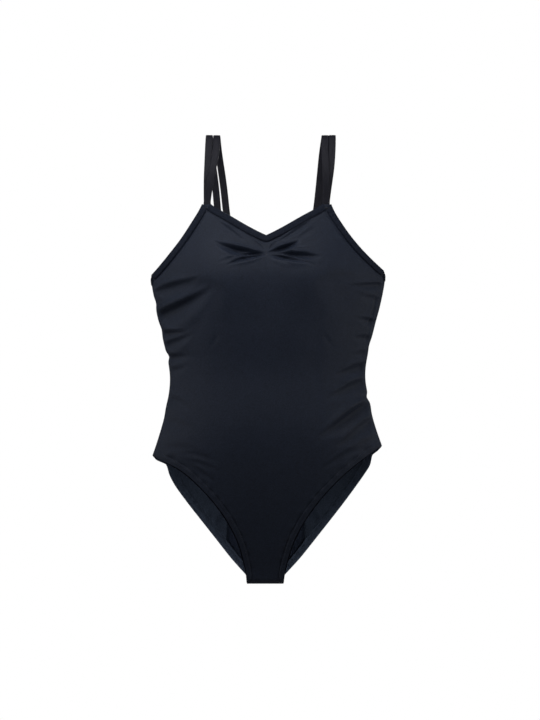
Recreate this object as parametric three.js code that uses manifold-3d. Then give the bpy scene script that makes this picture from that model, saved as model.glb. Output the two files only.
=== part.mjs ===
// A camisole gymnastics leotard: a front and a back panel in stretch cloth, bound top edges with elastic
// inside, doubled shoulder straps, a pinched front over a shelf bra, and elasticated leg openings.
//
// Millimetres, +Z up. The front faces -Y and the wearer's left is +X. The origin lies on the line across the
// shoulders that carries the garment, midway between the straps and level with the underside of their tops.
import * as THREE from "three";
import { mergeVertices } from "three/addons/utils/BufferGeometryUtils.js";
import Module from "manifold-3d";

const wasm = await Module();
wasm.setup();

// ------------------------------------------------------------------------------------- sizes

const GAP = 0.45; // kept between pieces that lie against each other

// Thickness of each layer
const BODY_CLOTH = 0.6;
const LINING_CLOTH = 0.5;
const BINDING_CLOTH = 0.6;
const ELASTIC = 0.8;
const THREAD = 0.4;

// The pattern's outline seen from the front, as (x, z) on the wearer's left
const UNDERARM = new THREE.Vector2(182, -216);
const WAIST = new THREE.Vector2(151.5, -371);
const HIP = new THREE.Vector2(180, -487.5);
const HIP_HOLLOW = 5; // how far the side seam dips in between waist and hip
const NECK_DIP = -157.5; // lowest point of the neckline
const NECK_SAG = 3.4; // how far each half of the neckline sags below a straight line
const PEAK_HEIGHT = -106; // top of the two points that the straps rise from
const PEAK_CENTRE = 93.5;
const ARMHOLE_HOLLOW = 13; // how far the armhole's guiding point lies inside a straight line
const BACK_DIP = -300; // lowest point of the scooped back
const SCOOP_SAG = 24; // how far the scoop's guiding point sags below a straight line
const UNDERBUST = -300; // lower edge of the shelf bra
const CROTCH_BOTTOM = -700;
const CROTCH_HALF_WIDTH = 31;
const CROTCH_RADIUS = 12; // of the fold between the legs
const GUSSET_HALF_WIDTH = 60;

// How far the cloth stands out from the plane of the side seams
const BUST_DEPTH = 58;
const WAIST_DEPTH = 44;
const BELLY_DEPTH = 50;
const UPPER_BACK_DEPTH = 38;
const WAIST_BACK_DEPTH = 36;
const SEAT_DEPTH = 62;
const FULLNESS = 2.6; // exponent of each cross-section: 2 is a pointed lens, more is a flatter front

// Bindings, elastics and seams
const BINDING_DEPTH = 9; // from the bound edge to the binding's own edge
const BINDING_TURN = 1.5; // how far the binding's fold stands past the cloth's edge
const EDGE_ELASTIC_WIDTH = 7;
const LEG_ELASTIC_WIDTH = 8;
const UNDERBUST_ELASTIC_WIDTH = 14;
const STITCH_PITCH = 9; // length of one zigzag of the coverstitch's looper thread
const STITCH_SPREAD = 3; // distance between its two rows
const SEAM_ALLOWANCE = 7;
const CREASE = 3; // nothing inside the garment comes nearer than this to the edge at a side seam
const PEAK_WIDTH = BINDING_DEPTH + 2;

// Straps
const STRAP_WIDTH = 11;
const STRAP_CLOTH = 0.5;
const STRAP_ELASTIC = 0.7;
const STRAP_THICKNESS = STRAP_ELASTIC + 2 * (STRAP_CLOTH + GAP);
const STRAP_TUCK = 12; // length sewn in behind the bound edges
const STRAP_TOP_CENTRE = 90.2; // middle of a pair of straps on the shoulder
const STRAP_PITCH = STRAP_WIDTH + 1.5; // between the two straps of a pair, on the shoulder
const STRAP_BACK_CENTRE = 58.3; // middle of the pair at the back edge
const STRAP_BACK_PITCH = 16.5;
const SHOULDER_FLAT = 16; // level stretch on top of the shoulder
const TACK_LENGTH = 8;
const TACK_HEIGHT = 2.4;

// Mesh density
const COLUMNS_NECK = 6;
const COLUMNS_ARM = 8;
const ROWS_FOLD = 4;
const ROWS_LEG = 11;
const GUSSET_ROWS = 5; // of the leg's rows
const ROWS_FRONT_BODY = 7;
const ROWS_BACK_BODY = 6;
const ROWS_TOP = 7;
const STRAP_FRONT_STATIONS = 10;
const STRAP_BACK_STATIONS = 13;

const FRONT = -1;
const BACK = 1;

// ------------------------------------------------------------------------------------- solids

/** The geometry with only its points, merged where they coincide, and with its faces turned outwards. */
function closed(geometry) {
  geometry.deleteAttribute("normal");
  geometry.deleteAttribute("uv");
  const merged = mergeVertices(geometry, 1e-4);
  const at = (n) => new THREE.Vector3().fromBufferAttribute(merged.getAttribute("position"), n);
  const index = merged.index.array;
  let volume = 0;
  for (let n = 0; n < index.length; n += 3) {
    volume += at(index[n]).dot(at(index[n + 1]).cross(at(index[n + 2])));
  }
  if (volume < 0) {
    for (let n = 0; n < index.length; n += 3) {
      [index[n + 1], index[n + 2]] = [index[n + 2], index[n + 1]];
    }
  }
  return merged;
}

/** A block of columns by rows cells, one cell thick, with its corners moved to place(column, row, layer). */
function block(columns, rows, place) {
  const box = new THREE.BoxGeometry(columns, rows, 1, columns, rows, 1);
  const position = box.getAttribute("position");
  for (let n = 0; n < position.count; n++) {
    const column = Math.round(position.getX(n) + columns / 2);
    const row = Math.round(position.getY(n) + rows / 2);
    const layer = Math.round(position.getZ(n) + 0.5);
    position.setXYZ(n, ...place(column, row, layer));
  }

  // Each cell of both large faces is split along its shorter diagonal, so that layers stay parallel
  const corner = (n) => new THREE.Vector3().fromBufferAttribute(position, n);
  const length = (a, b) => corner(a).distanceTo(corner(b));
  const index = box.index.array;
  const [, , , , firstLargeFace] = box.groups;
  for (let n = firstLargeFace.start; n < index.length; n += 6) {
    const [a, b, d, , c] = index.slice(n, n + 6);
    if (length(a, c) < length(b, d)) index.set([a, b, c, a, c, d], n);
  }
  return closed(box);
}

/** An endless band of four-cornered section: place(station, corner) gives each corner. */
function ring(stations, place) {
  const corners = 4;
  const torus = new THREE.TorusGeometry(1, 0.2, corners, stations);
  const position = torus.getAttribute("position");
  for (let n = 0; n < position.count; n++) {
    const station = (n % (stations + 1)) % stations;
    const corner = Math.floor(n / (stations + 1)) % corners;
    position.setXYZ(n, ...place(station, corner));
  }
  return closed(torus);
}

function solidOf(geometry) {
  return new wasm.Manifold(
    new wasm.Mesh({
      numProp: 3,
      vertProperties: geometry.getAttribute("position").array,
      triVerts: new Uint32Array(geometry.index.array),
    }),
  );
}

function geometryOf(solid) {
  const mesh = solid.getMesh();
  return new THREE.BufferGeometry()
    .setAttribute("position", new THREE.BufferAttribute(mesh.vertProperties, 3))
    .setIndex(new THREE.BufferAttribute(mesh.triVerts, 1));
}

const cut = (geometry, tool) => geometryOf(solidOf(geometry).subtract(solidOf(tool)));
const join = (one, other) => geometryOf(solidOf(one).add(solidOf(other)));
const mirrored = (geometry) => closed(geometry.clone().scale(-1, 1, 1));

/** What lies on one side of the plane of the side seams, short of that plane by a clearance. */
function shortOfSeams(geometry, facing, clearance = GAP / 2) {
  const reach = 1000;
  const beyond = new THREE.BoxGeometry(reach, reach, 2 * reach);
  beyond.translate(0, facing * (clearance - reach / 2), 0);
  return cut(geometry, closed(beyond));
}

// ------------------------------------------------------------------------------------- the form

/** A smooth function of height through points (value, height) given from the top down. */
function byHeight(points) {
  const samples = new THREE.SplineCurve(points).getPoints(240);
  return (height) => {
    const below = samples.findIndex((p) => p.y <= height);
    if (below === 0) return samples[0].x;
    if (below < 0) return samples.at(-1).x;
    const [a, b] = [samples[below - 1], samples[below]];
    return THREE.MathUtils.mapLinear(height, a.y, b.y, a.x, b.x);
  };
}

/** The distance from the middle at which a curve (x, z), running down, crosses a height. */
const crossing = (curve) => byHeight(curve.getPoints(60));

const point2 = (x, z) => new THREE.Vector2(x, z);
const point3 = (x, y, z) => new THREE.Vector3(x, y, z);
const between = (a, b, share) => a.clone().lerp(b, share);

const FOLD_TOP = CROTCH_BOTTOM + CROTCH_RADIUS;
const FOLD_END = FOLD_TOP - (CROTCH_RADIUS * Math.PI) / 2; // counted along the cloth, past FOLD_TOP
const CROTCH = point2(CROTCH_HALF_WIDTH, FOLD_TOP);
const RIBS = between(UNDERARM, WAIST, 0.5);
const HIGH_HIP = between(WAIST, HIP, 0.5).sub(point2(HIP_HOLLOW, 0));
const FORM_BOTTOM_HALF_WIDTH = 0.8 * HIP.x;

const sideSeam = byHeight([UNDERARM, RIBS, WAIST, HIGH_HIP, HIP]);

/** A leg opening's edge from hip to crotch. The leans place its guiding points as shares in and down. */
function legEdge(upperLean, lowerLean) {
  const control = ([across, down]) =>
    point2(THREE.MathUtils.lerp(HIP.x, CROTCH.x, across), THREE.MathUtils.lerp(HIP.y, CROTCH.y, down));
  return new THREE.CubicBezierCurve(HIP, control(upperLean), control(lowerLean), CROTCH);
}

const FRONT_LEG = legEdge([0.53, 0.21], [0.99, 0.61]);
const BACK_LEG = legEdge([0.35, 0.43], [0.52, 0.565]);
const frontLegAt = crossing(FRONT_LEG);
const backLegAt = crossing(BACK_LEG);

/** Half the width of the form that the garment is shaped on. */
function formHalfWidth(height) {
  if (height >= HIP.y) return sideSeam(height);
  const share = Math.min(1, (HIP.y - height) / (HIP.y - CROTCH_BOTTOM));
  return THREE.MathUtils.lerp(HIP.x, FORM_BOTTOM_HALF_WIDTH, share);
}

const legHeight = (share) => THREE.MathUtils.lerp(HIP.y, FOLD_TOP, share);

const frontDepth = byHeight([
  point2(0.62 * BUST_DEPTH, PEAK_HEIGHT),
  point2(0.8 * BUST_DEPTH, NECK_DIP),
  point2(BUST_DEPTH, UNDERARM.y),
  point2((BUST_DEPTH + WAIST_DEPTH) / 2, UNDERBUST),
  point2(WAIST_DEPTH, WAIST.y),
  point2(BELLY_DEPTH, HIP.y + 25),
  point2(0.84 * BELLY_DEPTH, legHeight(0.3)),
  point2(0.52 * BELLY_DEPTH, legHeight(0.7)),
  point2(1.25 * CROTCH_RADIUS, legHeight(0.92)),
  point2(CROTCH_RADIUS, FOLD_TOP),
]);

const backDepth = byHeight([
  point2(0.8 * UPPER_BACK_DEPTH, UNDERARM.y),
  point2(UPPER_BACK_DEPTH, BACK_DIP),
  point2(WAIST_BACK_DEPTH, WAIST.y),
  point2(SEAT_DEPTH, legHeight(0.15)),
  point2(0.87 * SEAT_DEPTH, legHeight(0.5)),
  point2(0.46 * SEAT_DEPTH, legHeight(0.8)),
  point2(1.35 * CROTCH_RADIUS, legHeight(0.93)),
  point2(CROTCH_RADIUS, FOLD_TOP),
]);

/** Extra depth of the two bust mounds. */
function bust(x, height) {
  const [rise, centre, spread] = [8, 72, 38];
  const away = Math.hypot(Math.abs(x) - centre, height - UNDERARM.y);
  return rise * Math.exp(-0.5 * (away / spread) ** 2);
}

/**
 * The outer face of the cloth on one side of the form. Heights count down along the cloth: past FOLD_TOP they
 * run round the fold between the legs.
 */
function surface(facing, x, height) {
  const inFold = Math.max(0, FOLD_TOP - height) / CROTCH_RADIUS;
  const top = Math.max(height, FOLD_TOP);
  const out = Math.abs(x) / formHalfWidth(top);
  const swell = facing === FRONT ? bust(x, height) * (1 - out ** 4) : 0;
  const depth = (facing === FRONT ? frontDepth(top) : backDepth(top)) * (1 - out ** FULLNESS) + swell;
  return new THREE.Vector3(
    x,
    facing * depth * Math.cos(inFold),
    top - CROTCH_RADIUS * Math.sin(inFold),
  );
}

/** A point at a distance outside the cloth's outer face, or inside it where lift is negative. */
function onCloth(facing, x, height, lift) {
  const step = 0.05;
  const along = (dx, dh) =>
    surface(facing, x + dx, height + dh).sub(surface(facing, x - dx, height - dh));
  const normal = along(step, 0).cross(along(0, step)).normalize();
  return surface(facing, x, height).addScaledVector(normal, -facing * lift);
}

// ------------------------------------------------------------------------------------- edges

const PEAK_INNER = PEAK_CENTRE - PEAK_WIDTH / 2;
const PEAK_OUTER = PEAK_CENTRE + PEAK_WIDTH / 2;

const necklineCurve = new THREE.QuadraticBezierCurve(
  point2(0, NECK_DIP),
  point2(PEAK_INNER / 2, (NECK_DIP + PEAK_HEIGHT) / 2 - 2 * NECK_SAG),
  point2(PEAK_INNER, PEAK_HEIGHT),
);
const armholeCurve = new THREE.QuadraticBezierCurve(
  point2(PEAK_OUTER, PEAK_HEIGHT),
  between(point2(PEAK_OUTER, PEAK_HEIGHT), UNDERARM, 0.5).sub(point2(ARMHOLE_HOLLOW, 0)),
  UNDERARM,
);
const scoopCurve = new THREE.CubicBezierCurve(
  UNDERARM,
  between(UNDERARM, point2(0, BACK_DIP), 0.3).sub(point2(0, SCOOP_SAG)),
  point2(0.44 * UNDERARM.x, BACK_DIP),
  point2(0, BACK_DIP),
);

/** The height at which a curve running outwards or inwards passes a distance from the middle. */
function heightOn(curve, x) {
  const samples = curve.getPoints(80).sort((a, b) => a.x - b.x);
  const after = Math.max(1, samples.findIndex((p) => p.x >= x - 1e-6));
  const [a, b] = [samples[after - 1], samples[after]];
  return THREE.MathUtils.mapLinear(x, a.x, b.x, a.y, b.y);
}

function frontTop(x) {
  const out = Math.abs(x);
  if (out <= PEAK_INNER) return heightOn(necklineCurve, out);
  return out < PEAK_OUTER ? PEAK_HEIGHT : heightOn(armholeCurve, out);
}

const backTop = (x) => heightOn(scoopCurve, Math.abs(x));

const range = (count) => Array.from({ length: count + 1 }, (_, n) => n / count);
const NECK_XS = range(COLUMNS_NECK).map((share) => share * PEAK_INNER);
const ARM_XS = range(COLUMNS_ARM).map((share) => THREE.MathUtils.lerp(PEAK_OUTER, UNDERARM.x, share));
const LEFT_XS = [...NECK_XS, ...ARM_XS];
const COLUMN_XS = [...LEFT_XS.slice(1).map((x) => -x).reverse(), ...LEFT_XS];

/** Rows of a panel below its top part, as [height, half width], from the bottom up. */
function lowerRows(legAt, upTo, bodyRows) {
  const fold = range(ROWS_FOLD).map((s) => [THREE.MathUtils.lerp(FOLD_END, FOLD_TOP, s), CROTCH.x]);
  const leg = range(ROWS_LEG).slice(1, -1).map((s) => THREE.MathUtils.lerp(FOLD_TOP, HIP.y, s));
  const body = range(bodyRows).map((s) => THREE.MathUtils.lerp(HIP.y, upTo, s));
  return [...fold, ...leg.map((h) => [h, legAt(h)]), ...body.map((h) => [h, sideSeam(h)])];
}

/** Shares of the way up a panel's top part: even, then one narrow row under the bound edge. */
const TOP_SHARES = [...range(ROWS_TOP).slice(0, -1).map((s) => s * (0.93 / (1 - 1 / ROWS_TOP))), 1];

/** A place in a panel's top part, between a level row and the shaped top edge. */
function inTopPart(x, share, from, topAt) {
  const side = THREE.MathUtils.lerp(from, UNDERARM.y, share);
  return point2(
    (x / UNDERARM.x) * sideSeam(side),
    THREE.MathUtils.lerp(from, topAt(x), share),
  );
}

/** The places of a whole panel, row by row from the crotch to the top edge. */
function panelRows(legAt, from, bodyRows, topAt) {
  const lower = lowerRows(legAt, from, bodyRows).map(([height, half]) =>
    COLUMN_XS.map((x) => point2((x / UNDERARM.x) * half, height)),
  );
  const upper = TOP_SHARES.slice(1).map((share) =>
    COLUMN_XS.map((x) => inTopPart(x, share, from, topAt)),
  );
  return [...lower, ...upper];
}

/** A sheet of cloth through rows of places (x, height), between two distances from the outer face. */
function sheet(facing, rows, inner, outer) {
  return block(rows[0].length - 1, rows.length - 1, (column, row, layer) => {
    const place = rows[row][column];
    return onCloth(facing, place.x, place.y, layer ? outer : inner);
  });
}

/**
 * Stations along an edge. Each is a function of the depth into the cloth, at right angles to the edge, and of
 * the distance outside the cloth's outer face. turn is 1 where the cloth lies on the left of the edge.
 */
function stationsAlong(facing, places, turn) {
  return places.map((place, n) => {
    const ahead = places[Math.min(n + 1, places.length - 1)];
    const along = ahead.clone().sub(places[Math.max(n - 1, 0)]).normalize();
    return (depth, lift) =>
      onCloth(facing, place.x - turn * depth * along.y, place.y + turn * depth * along.x, lift);
  });
}

/** A strip along an edge whose section is a list of [inner, outer] pairs of (depth, lift). */
function strip(stations, section) {
  return block(stations.length - 1, section.length - 1, (column, row, layer) =>
    stations[column](...section[row][layer]),
  );
}

const flatSection = (depthFrom, depthTo, inner, outer) => [
  [[depthFrom, inner], [depthFrom, outer]],
  [[depthTo, inner], [depthTo, outer]],
];

/** A binding folded over an edge: one leaf outside the cloth, one inside a stack of that thickness. */
function bindingSection(stack) {
  const turn = BINDING_TURN - BINDING_CLOTH;
  const [outside, inside] = [GAP, -(stack + GAP)];
  return [
    [[BINDING_DEPTH, outside], [BINDING_DEPTH, outside + BINDING_CLOTH]],
    [[-turn, outside], [-BINDING_TURN, outside + BINDING_CLOTH]],
    [[-turn, inside], [-BINDING_TURN, inside - BINDING_CLOTH]],
    [[BINDING_DEPTH - 1, inside], [BINDING_DEPTH - 1, inside - BINDING_CLOTH]],
  ];
}

/** The looper thread of a coverstitch, zigzagging along an edge at a distance inside the outer face. */
function zigzag(stations, depth, inner) {
  return block(stations.length - 1, 1, (column, row, layer) => {
    const swing = (column % 2 ? 0.5 : -0.5) * STITCH_SPREAD;
    return stations[column](depth + swing + (row - 0.5) * 1.5 * THREAD, inner - layer * THREAD);
  });
}

/** Places along a curve (x, height), evenly spaced, from one share of its length to another. */
function placesOn(curve, count, from = 0, to = 1) {
  return range(count).map((share) => curve.getPointAt(THREE.MathUtils.lerp(from, to, share)));
}

const zigzags = (length) => 2 * Math.round(length / (2 * STITCH_PITCH)) * 2;

// ------------------------------------------------------------------------------------- materials

const finish = (color, roughness) => new THREE.MeshStandardMaterial({ color, roughness, metalness: 0 });
const bodyCloth = finish(0x23272f, 0.62);
const liningCloth = finish(0x1d2026, 0.8);
const bindingCloth = finish(0x25262c, 0.7);
const strapCloth = finish(0x25252b, 0.72);
const elasticCord = finish(0x1a1a1c, 0.85);
const sewingThread = finish(0x16171b, 0.6);
const labelSatin = finish(0x2c2d31, 0.45);

const leotard = new THREE.Group();

function add(name, geometry, material) {
  const mesh = new THREE.Mesh(geometry, material);
  mesh.name = name;
  leotard.add(mesh);
}

/** Adds a piece on the wearer's left and its mirror image on the right. */
function addPair(name, geometry, material) {
  add(`left_${name}`, geometry, material);
  add(`right_${name}`, mirrored(geometry), material);
}

// ------------------------------------------------------------------------------------- panels

const frontRows = panelRows(frontLegAt, UNDERBUST, ROWS_FRONT_BODY, frontTop);
const BACK_TOP_PART = BACK_DIP - 45;
const backRows = panelRows(backLegAt, BACK_TOP_PART, ROWS_BACK_BODY, backTop);
add("front_panel", shortOfSeams(sheet(FRONT, frontRows, -BODY_CLOTH, 0), FRONT), bodyCloth);
add("back_panel", shortOfSeams(sheet(BACK, backRows, -BODY_CLOTH, 0), BACK), bodyCloth);

// The second layer, inside the front panel or in the crotch
const LINING_OUTER = -(BODY_CLOTH + GAP);
const LINING_INNER = LINING_OUTER - LINING_CLOTH;
const LINING_CLEARANCE = 2.4; // from the plane of the side seams, as room for the overlocked allowances
const braRows = TOP_SHARES.map((share) =>
  COLUMN_XS.map((x) => inTopPart(x, share, UNDERBUST, frontTop)),
);
add(
  "shelf_bra_lining",
  shortOfSeams(sheet(FRONT, braRows, LINING_INNER, LINING_OUTER), FRONT, LINING_CLEARANCE),
  liningCloth,
);

const HEM_INSET = 1.35 * (LEG_ELASTIC_WIDTH + 2 * GAP);
const PAST_FOLD = 0.6; // each half of the gusset runs on this far so that the halves join

/** One half of the gusset lining, from the fold between the legs to its upper edge. */
function gussetHalf(facing, legAt) {
  const shares = [-1.5, -1, -0.6, -0.3, 0, 0.3, 0.6, 1, 1.5].map((share) => share / 1.5);
  const rows = [
    ...range(ROWS_FOLD).map((s) => THREE.MathUtils.lerp(FOLD_END - PAST_FOLD, FOLD_TOP, s)),
    ...range(ROWS_LEG).slice(1, GUSSET_ROWS + 1).map((s) => THREE.MathUtils.lerp(FOLD_TOP, HIP.y, s)),
  ];
  const half = (height) => Math.min(GUSSET_HALF_WIDTH, legAt(Math.max(height, FOLD_TOP)) - HEM_INSET);
  const places = rows.map((height) => shares.map((share) => point2(share * half(height), height)));
  return sheet(facing, places, LINING_INNER, LINING_OUTER);
}
add("gusset_lining", join(gussetHalf(FRONT, frontLegAt), gussetHalf(BACK, backLegAt)), liningCloth);

// ------------------------------------------------------------------------------------- bound edges

const FRONT_STACK = -LINING_INNER + GAP + ELASTIC; // cloth, lining and elastic
const BACK_STACK = BODY_CLOTH + GAP + ELASTIC;
const EDGE_MARGIN = 0.4; // between the bound edge and the elastic

/** The part of a piece that lies between two distances x from the middle. */
function within(geometry, fromX, toX) {
  const reach = 1000;
  const beyond = (x, side) => closed(new THREE.BoxGeometry(reach, reach, reach)
    .translate(x + (side * reach) / 2, 0, UNDERARM.y));
  return cut(cut(geometry, beyond(toX, 1)), beyond(fromX, -1));
}

/** Adds a binding with its elastic and stitching along an edge, on its own or as a left and right pair. */
function bind(name, put, facing, { xs, topAt, stitched, mitre }, stack) {
  const places = xs.map((x) => point2(x, topAt(x)));
  const stations = stationsAlong(facing, places, -1);
  const elasticOuter = -(stack - ELASTIC);
  const band = flatSection(EDGE_MARGIN, EDGE_MARGIN + EDGE_ELASTIC_WIDTH, -stack, elasticOuter);
  const seam = stationsAlong(facing, stitched, -1);
  const seamLift = -(stack + 2 * GAP + BINDING_CLOTH);
  const folded = within(strip(stations, bindingSection(stack)), ...mitre);
  put(`${name}_binding`, shortOfSeams(folded, facing), bindingCloth);
  put(`${name}_elastic`, shortOfSeams(strip(stations, band), facing), elasticCord);
  put(`${name}_coverstitch`, zigzag(seam, BINDING_DEPTH - 3.5, seamLift), sewingThread);
}

/** Places along an edge (x, topAt(x)), one at each end of every stitch, short of the ends by a margin. */
function stitchPlaces(fromX, toX, topAt, margin) {
  const [from, to] = [fromX + margin, toX - margin];
  return range(zigzags(1.15 * (to - from))).map((share) => {
    const x = THREE.MathUtils.lerp(from, to, share);
    return point2(x, topAt(x));
  });
}

const SEAM_CLEAR = 12; // stitching stops this far from a side seam or a peak
bind("neckline", add, FRONT, {
  xs: [...NECK_XS.slice(1).map((x) => -x).reverse(), ...NECK_XS],
  topAt: frontTop,
  stitched: stitchPlaces(-PEAK_INNER, PEAK_INNER, frontTop, SEAM_CLEAR),
  mitre: [-PEAK_CENTRE + GAP / 2, PEAK_CENTRE - GAP / 2],
}, FRONT_STACK);
bind("armhole", addPair, FRONT, {
  xs: ARM_XS,
  topAt: frontTop,
  stitched: stitchPlaces(PEAK_OUTER, UNDERARM.x, frontTop, SEAM_CLEAR),
  mitre: [PEAK_CENTRE + GAP / 2, UNDERARM.x + 1],
}, FRONT_STACK);
bind("back_edge", add, BACK, {
  xs: COLUMN_XS,
  topAt: backTop,
  stitched: stitchPlaces(-UNDERARM.x, UNDERARM.x, backTop, SEAM_CLEAR + 2),
  mitre: [-UNDERARM.x - 1, UNDERARM.x + 1],
}, BACK_STACK);

// ------------------------------------------------------------------------------------- legs

/** The left leg opening's edge as one loop: up the front from the crotch, then down the back. */
function legLoop(perSide) {
  const wedge = 0.035; // share of each edge left at the hip, where front and back close in
  const front = placesOn(FRONT_LEG, perSide, wedge, 1).reverse();
  const back = placesOn(BACK_LEG, perSide, wedge, 1);
  const inFold = (facing, shares) => shares.map((share) => (depth, lift) =>
    onCloth(facing, CROTCH.x - depth, THREE.MathUtils.lerp(FOLD_TOP, FOLD_END, share), lift));
  const upFold = range(ROWS_FOLD).slice(1).reverse();
  return [
    ...inFold(FRONT, upFold),
    ...stationsAlong(FRONT, front, 1),
    (depth, lift) => point3(sideSeam(HIP.y + depth) - CREASE + lift, 0, HIP.y + depth),
    ...stationsAlong(BACK, back, -1),
    ...inFold(BACK, upFold.slice(1).reverse()),
  ];
}

/** An endless band along the leg opening; depthAt(station) gives the two depths of its section. */
function legBand(loop, depthAt, inner, outer) {
  return ring(loop.length, (station, corner) => {
    const depth = depthAt(station)[corner === 1 || corner === 2 ? 1 : 0];
    return loop[station](depth, corner < 2 ? inner : outer);
  });
}

const LEG_ELASTIC_OUTER = -(BODY_CLOTH + 1.2 * GAP);
const LEG_ELASTIC_INNER = LEG_ELASTIC_OUTER - ELASTIC;
const legStations = legLoop(Math.round(FRONT_LEG.getLength() / STITCH_PITCH));
addPair(
  "leg_elastic",
  legBand(
    legStations,
    () => [EDGE_MARGIN, EDGE_MARGIN + LEG_ELASTIC_WIDTH],
    LEG_ELASTIC_INNER,
    LEG_ELASTIC_OUTER,
  ),
  elasticCord,
);

const LEG_STITCH_DEPTH = EDGE_MARGIN + LEG_ELASTIC_WIDTH - 3;
addPair(
  "leg_coverstitch",
  legBand(
    legStations,
    (station) => {
      const middle = LEG_STITCH_DEPTH + (station % 2 ? 0.5 : -0.5) * STITCH_SPREAD;
      return [middle - 0.75 * THREAD, middle + 0.75 * THREAD];
    },
    LEG_ELASTIC_INNER - 1.5 * GAP - THREAD,
    LEG_ELASTIC_INNER - 1.5 * GAP,
  ),
  sewingThread,
);

// ------------------------------------------------------------------------------------- seams

/** The overlocked allowances of a side seam, standing into the garment from the crease of the panels. */
function sideOverlock() {
  const [from, to] = [HIP.y + 16, UNDERARM.y - 32];
  const [thinHalf, thickHalf] = [0.3, 0.8];
  return block(16, 1, (column, row, layer) => {
    const height = THREE.MathUtils.lerp(from, to, column / 16);
    const x = sideSeam(height) - CREASE - row * SEAM_ALLOWANCE;
    return new THREE.Vector3(x, (2 * layer - 1) * (row ? thickHalf : thinHalf), height);
  });
}
addPair("side_overlock", sideOverlock(), sewingThread);

/** The overlocked seam across the crotch, lying on the gusset lining. */
function crotchOverlock() {
  const half = CROTCH_HALF_WIDTH - HEM_INSET - GAP;
  const [width, thickness] = [4, 1.2];
  const top = CROTCH_BOTTOM - LINING_INNER + 2 * GAP;
  return closed(new THREE.BoxGeometry(2 * half, width, thickness).translate(0, 0, top + thickness / 2));
}
add("crotch_overlock", crotchOverlock(), sewingThread);

// ------------------------------------------------------------------------------------- front details

/** A level patch on the cloth, centred on a place. */
function patch(facing, centre, width, height, inner, outer, columns = 2, rows = 2) {
  const places = range(rows).map((v) =>
    range(columns).map((u) => point2(centre.x + (u - 0.5) * width, centre.y + (v - 0.5) * height)),
  );
  return sheet(facing, places, inner, outer);
}

const PINCH = point2(0, NECK_DIP - 26.5);
const SECOND_LAYER = LINING_INNER - GAP; // outer face of what lies inside the lining
add("pinch_elastic", patch(FRONT, PINCH, 6, 24, SECOND_LAYER - ELASTIC, SECOND_LAYER), elasticCord);
add("pinch_stitching", patch(FRONT, PINCH, 1.2, 10, GAP, GAP + THREAD), sewingThread);

/** The elastic sewn round the lower edge of the shelf bra. */
function underbustElastic() {
  const share = UNDERBUST_ELASTIC_WIDTH / (UNDERARM.y - UNDERBUST);
  const rows = [0, share].map((s) =>
    COLUMN_XS.slice(1, -1).map((x) => {
      const { x: across } = inTopPart(x, s, UNDERBUST, frontTop);
      return point2(across, UNDERBUST + s * (UNDERARM.y - UNDERBUST));
    }),
  );
  return sheet(FRONT, rows, SECOND_LAYER - ELASTIC, SECOND_LAYER);
}
add("underbust_elastic", underbustElastic(), elasticCord);

const [LABEL_WIDTH, LABEL_LENGTH, LABEL_SATIN] = [28, 22, 0.3];
const labelOuter = -(BACK_STACK + 2 * GAP + BINDING_CLOTH) - THREAD - GAP;
add(
  "care_label",
  patch(
    BACK,
    point2(0, BACK_DIP - 4 - LABEL_LENGTH / 2),
    LABEL_WIDTH,
    LABEL_LENGTH,
    labelOuter - LABEL_SATIN,
    labelOuter,
  ),
  labelSatin,
);

// ------------------------------------------------------------------------------------- straps

const behindBinding = (stack) => -(stack + 2 * GAP + BINDING_CLOTH);

/**
 * The line of a strap's underside from behind the front peak, over the shoulder, to behind the back edge.
 * side is -1 for the strap nearer the neck and 1 for the one nearer the arm, which lies behind it in front.
 */
function strapLine(side) {
  const topX = STRAP_TOP_CENTRE + (side * STRAP_PITCH) / 2;
  const backX = STRAP_BACK_CENTRE + (side * STRAP_BACK_PITCH) / 2;
  const backHeight = backTop(backX);
  const layer = side > 0 ? STRAP_THICKNESS + 1.4 * GAP : 0;
  const frontLift = behindBinding(FRONT_STACK) - STRAP_THICKNESS - layer;
  const backLift = behindBinding(BACK_STACK) - 1.2 * GAP - THREAD - STRAP_THICKNESS;
  const peak = (rise) => onCloth(FRONT, PEAK_CENTRE, PEAK_HEIGHT + rise, frontLift);
  const edge = (rise) => onCloth(BACK, backX, backHeight + rise, backLift);

  // Shares of the rise from the peak, with how far each pair has fanned out and its depth
  const rising = [[0.42, 0.58, 30], [0.76, 1, 23]].map(([share, fan, depth]) =>
    point3(THREE.MathUtils.lerp(PEAK_CENTRE, topX, fan), layer - depth, PEAK_HEIGHT * (1 - share)),
  );
  const falling = [[0.085, 22], [0.21, 30], [0.45, 34], [0.72, 33]].map(([share, depth]) =>
    point3(THREE.MathUtils.lerp(topX, backX, share), depth, backHeight * share),
  );
  const frontTopPoint = point3(topX, -SHOULDER_FLAT / 2, 0);
  const backTopPoint = point3(topX, SHOULDER_FLAT / 2, 0);
  const up = new THREE.CatmullRomCurve3([peak(-STRAP_TUCK), peak(0), ...rising, frontTopPoint]);
  const down = new THREE.CatmullRomCurve3([backTopPoint, ...falling, edge(1), edge(-STRAP_TUCK)]);
  const acrossCloth = (facing, x, height) =>
    onCloth(facing, x + 1, height, 0).sub(onCloth(facing, x - 1, height, 0)).normalize();
  const atPeak = acrossCloth(FRONT, PEAK_CENTRE, PEAK_HEIGHT);
  const atEdge = acrossCloth(BACK, backX, backHeight);
  const level = point3(1, 0, 0);
  const turned = (curve, count, lieAt) =>
    curve.getSpacedPoints(count).map((origin, n) => ({ origin, lie: lieAt(n / count) }));
  const levelling = (share) => atPeak.clone().lerp(level, Math.min(1, 3 * share));
  const tilting = (share) => level.clone().lerp(atEdge, Math.max(0, 3 * share - 2));
  const front = turned(up, STRAP_FRONT_STATIONS, levelling);
  const back = turned(down, STRAP_BACK_STATIONS, tilting);
  front.at(-1).along = point3(0, 1, 0);
  back[0].along = point3(0, 1, 0);
  return [...front, ...back];
}

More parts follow.
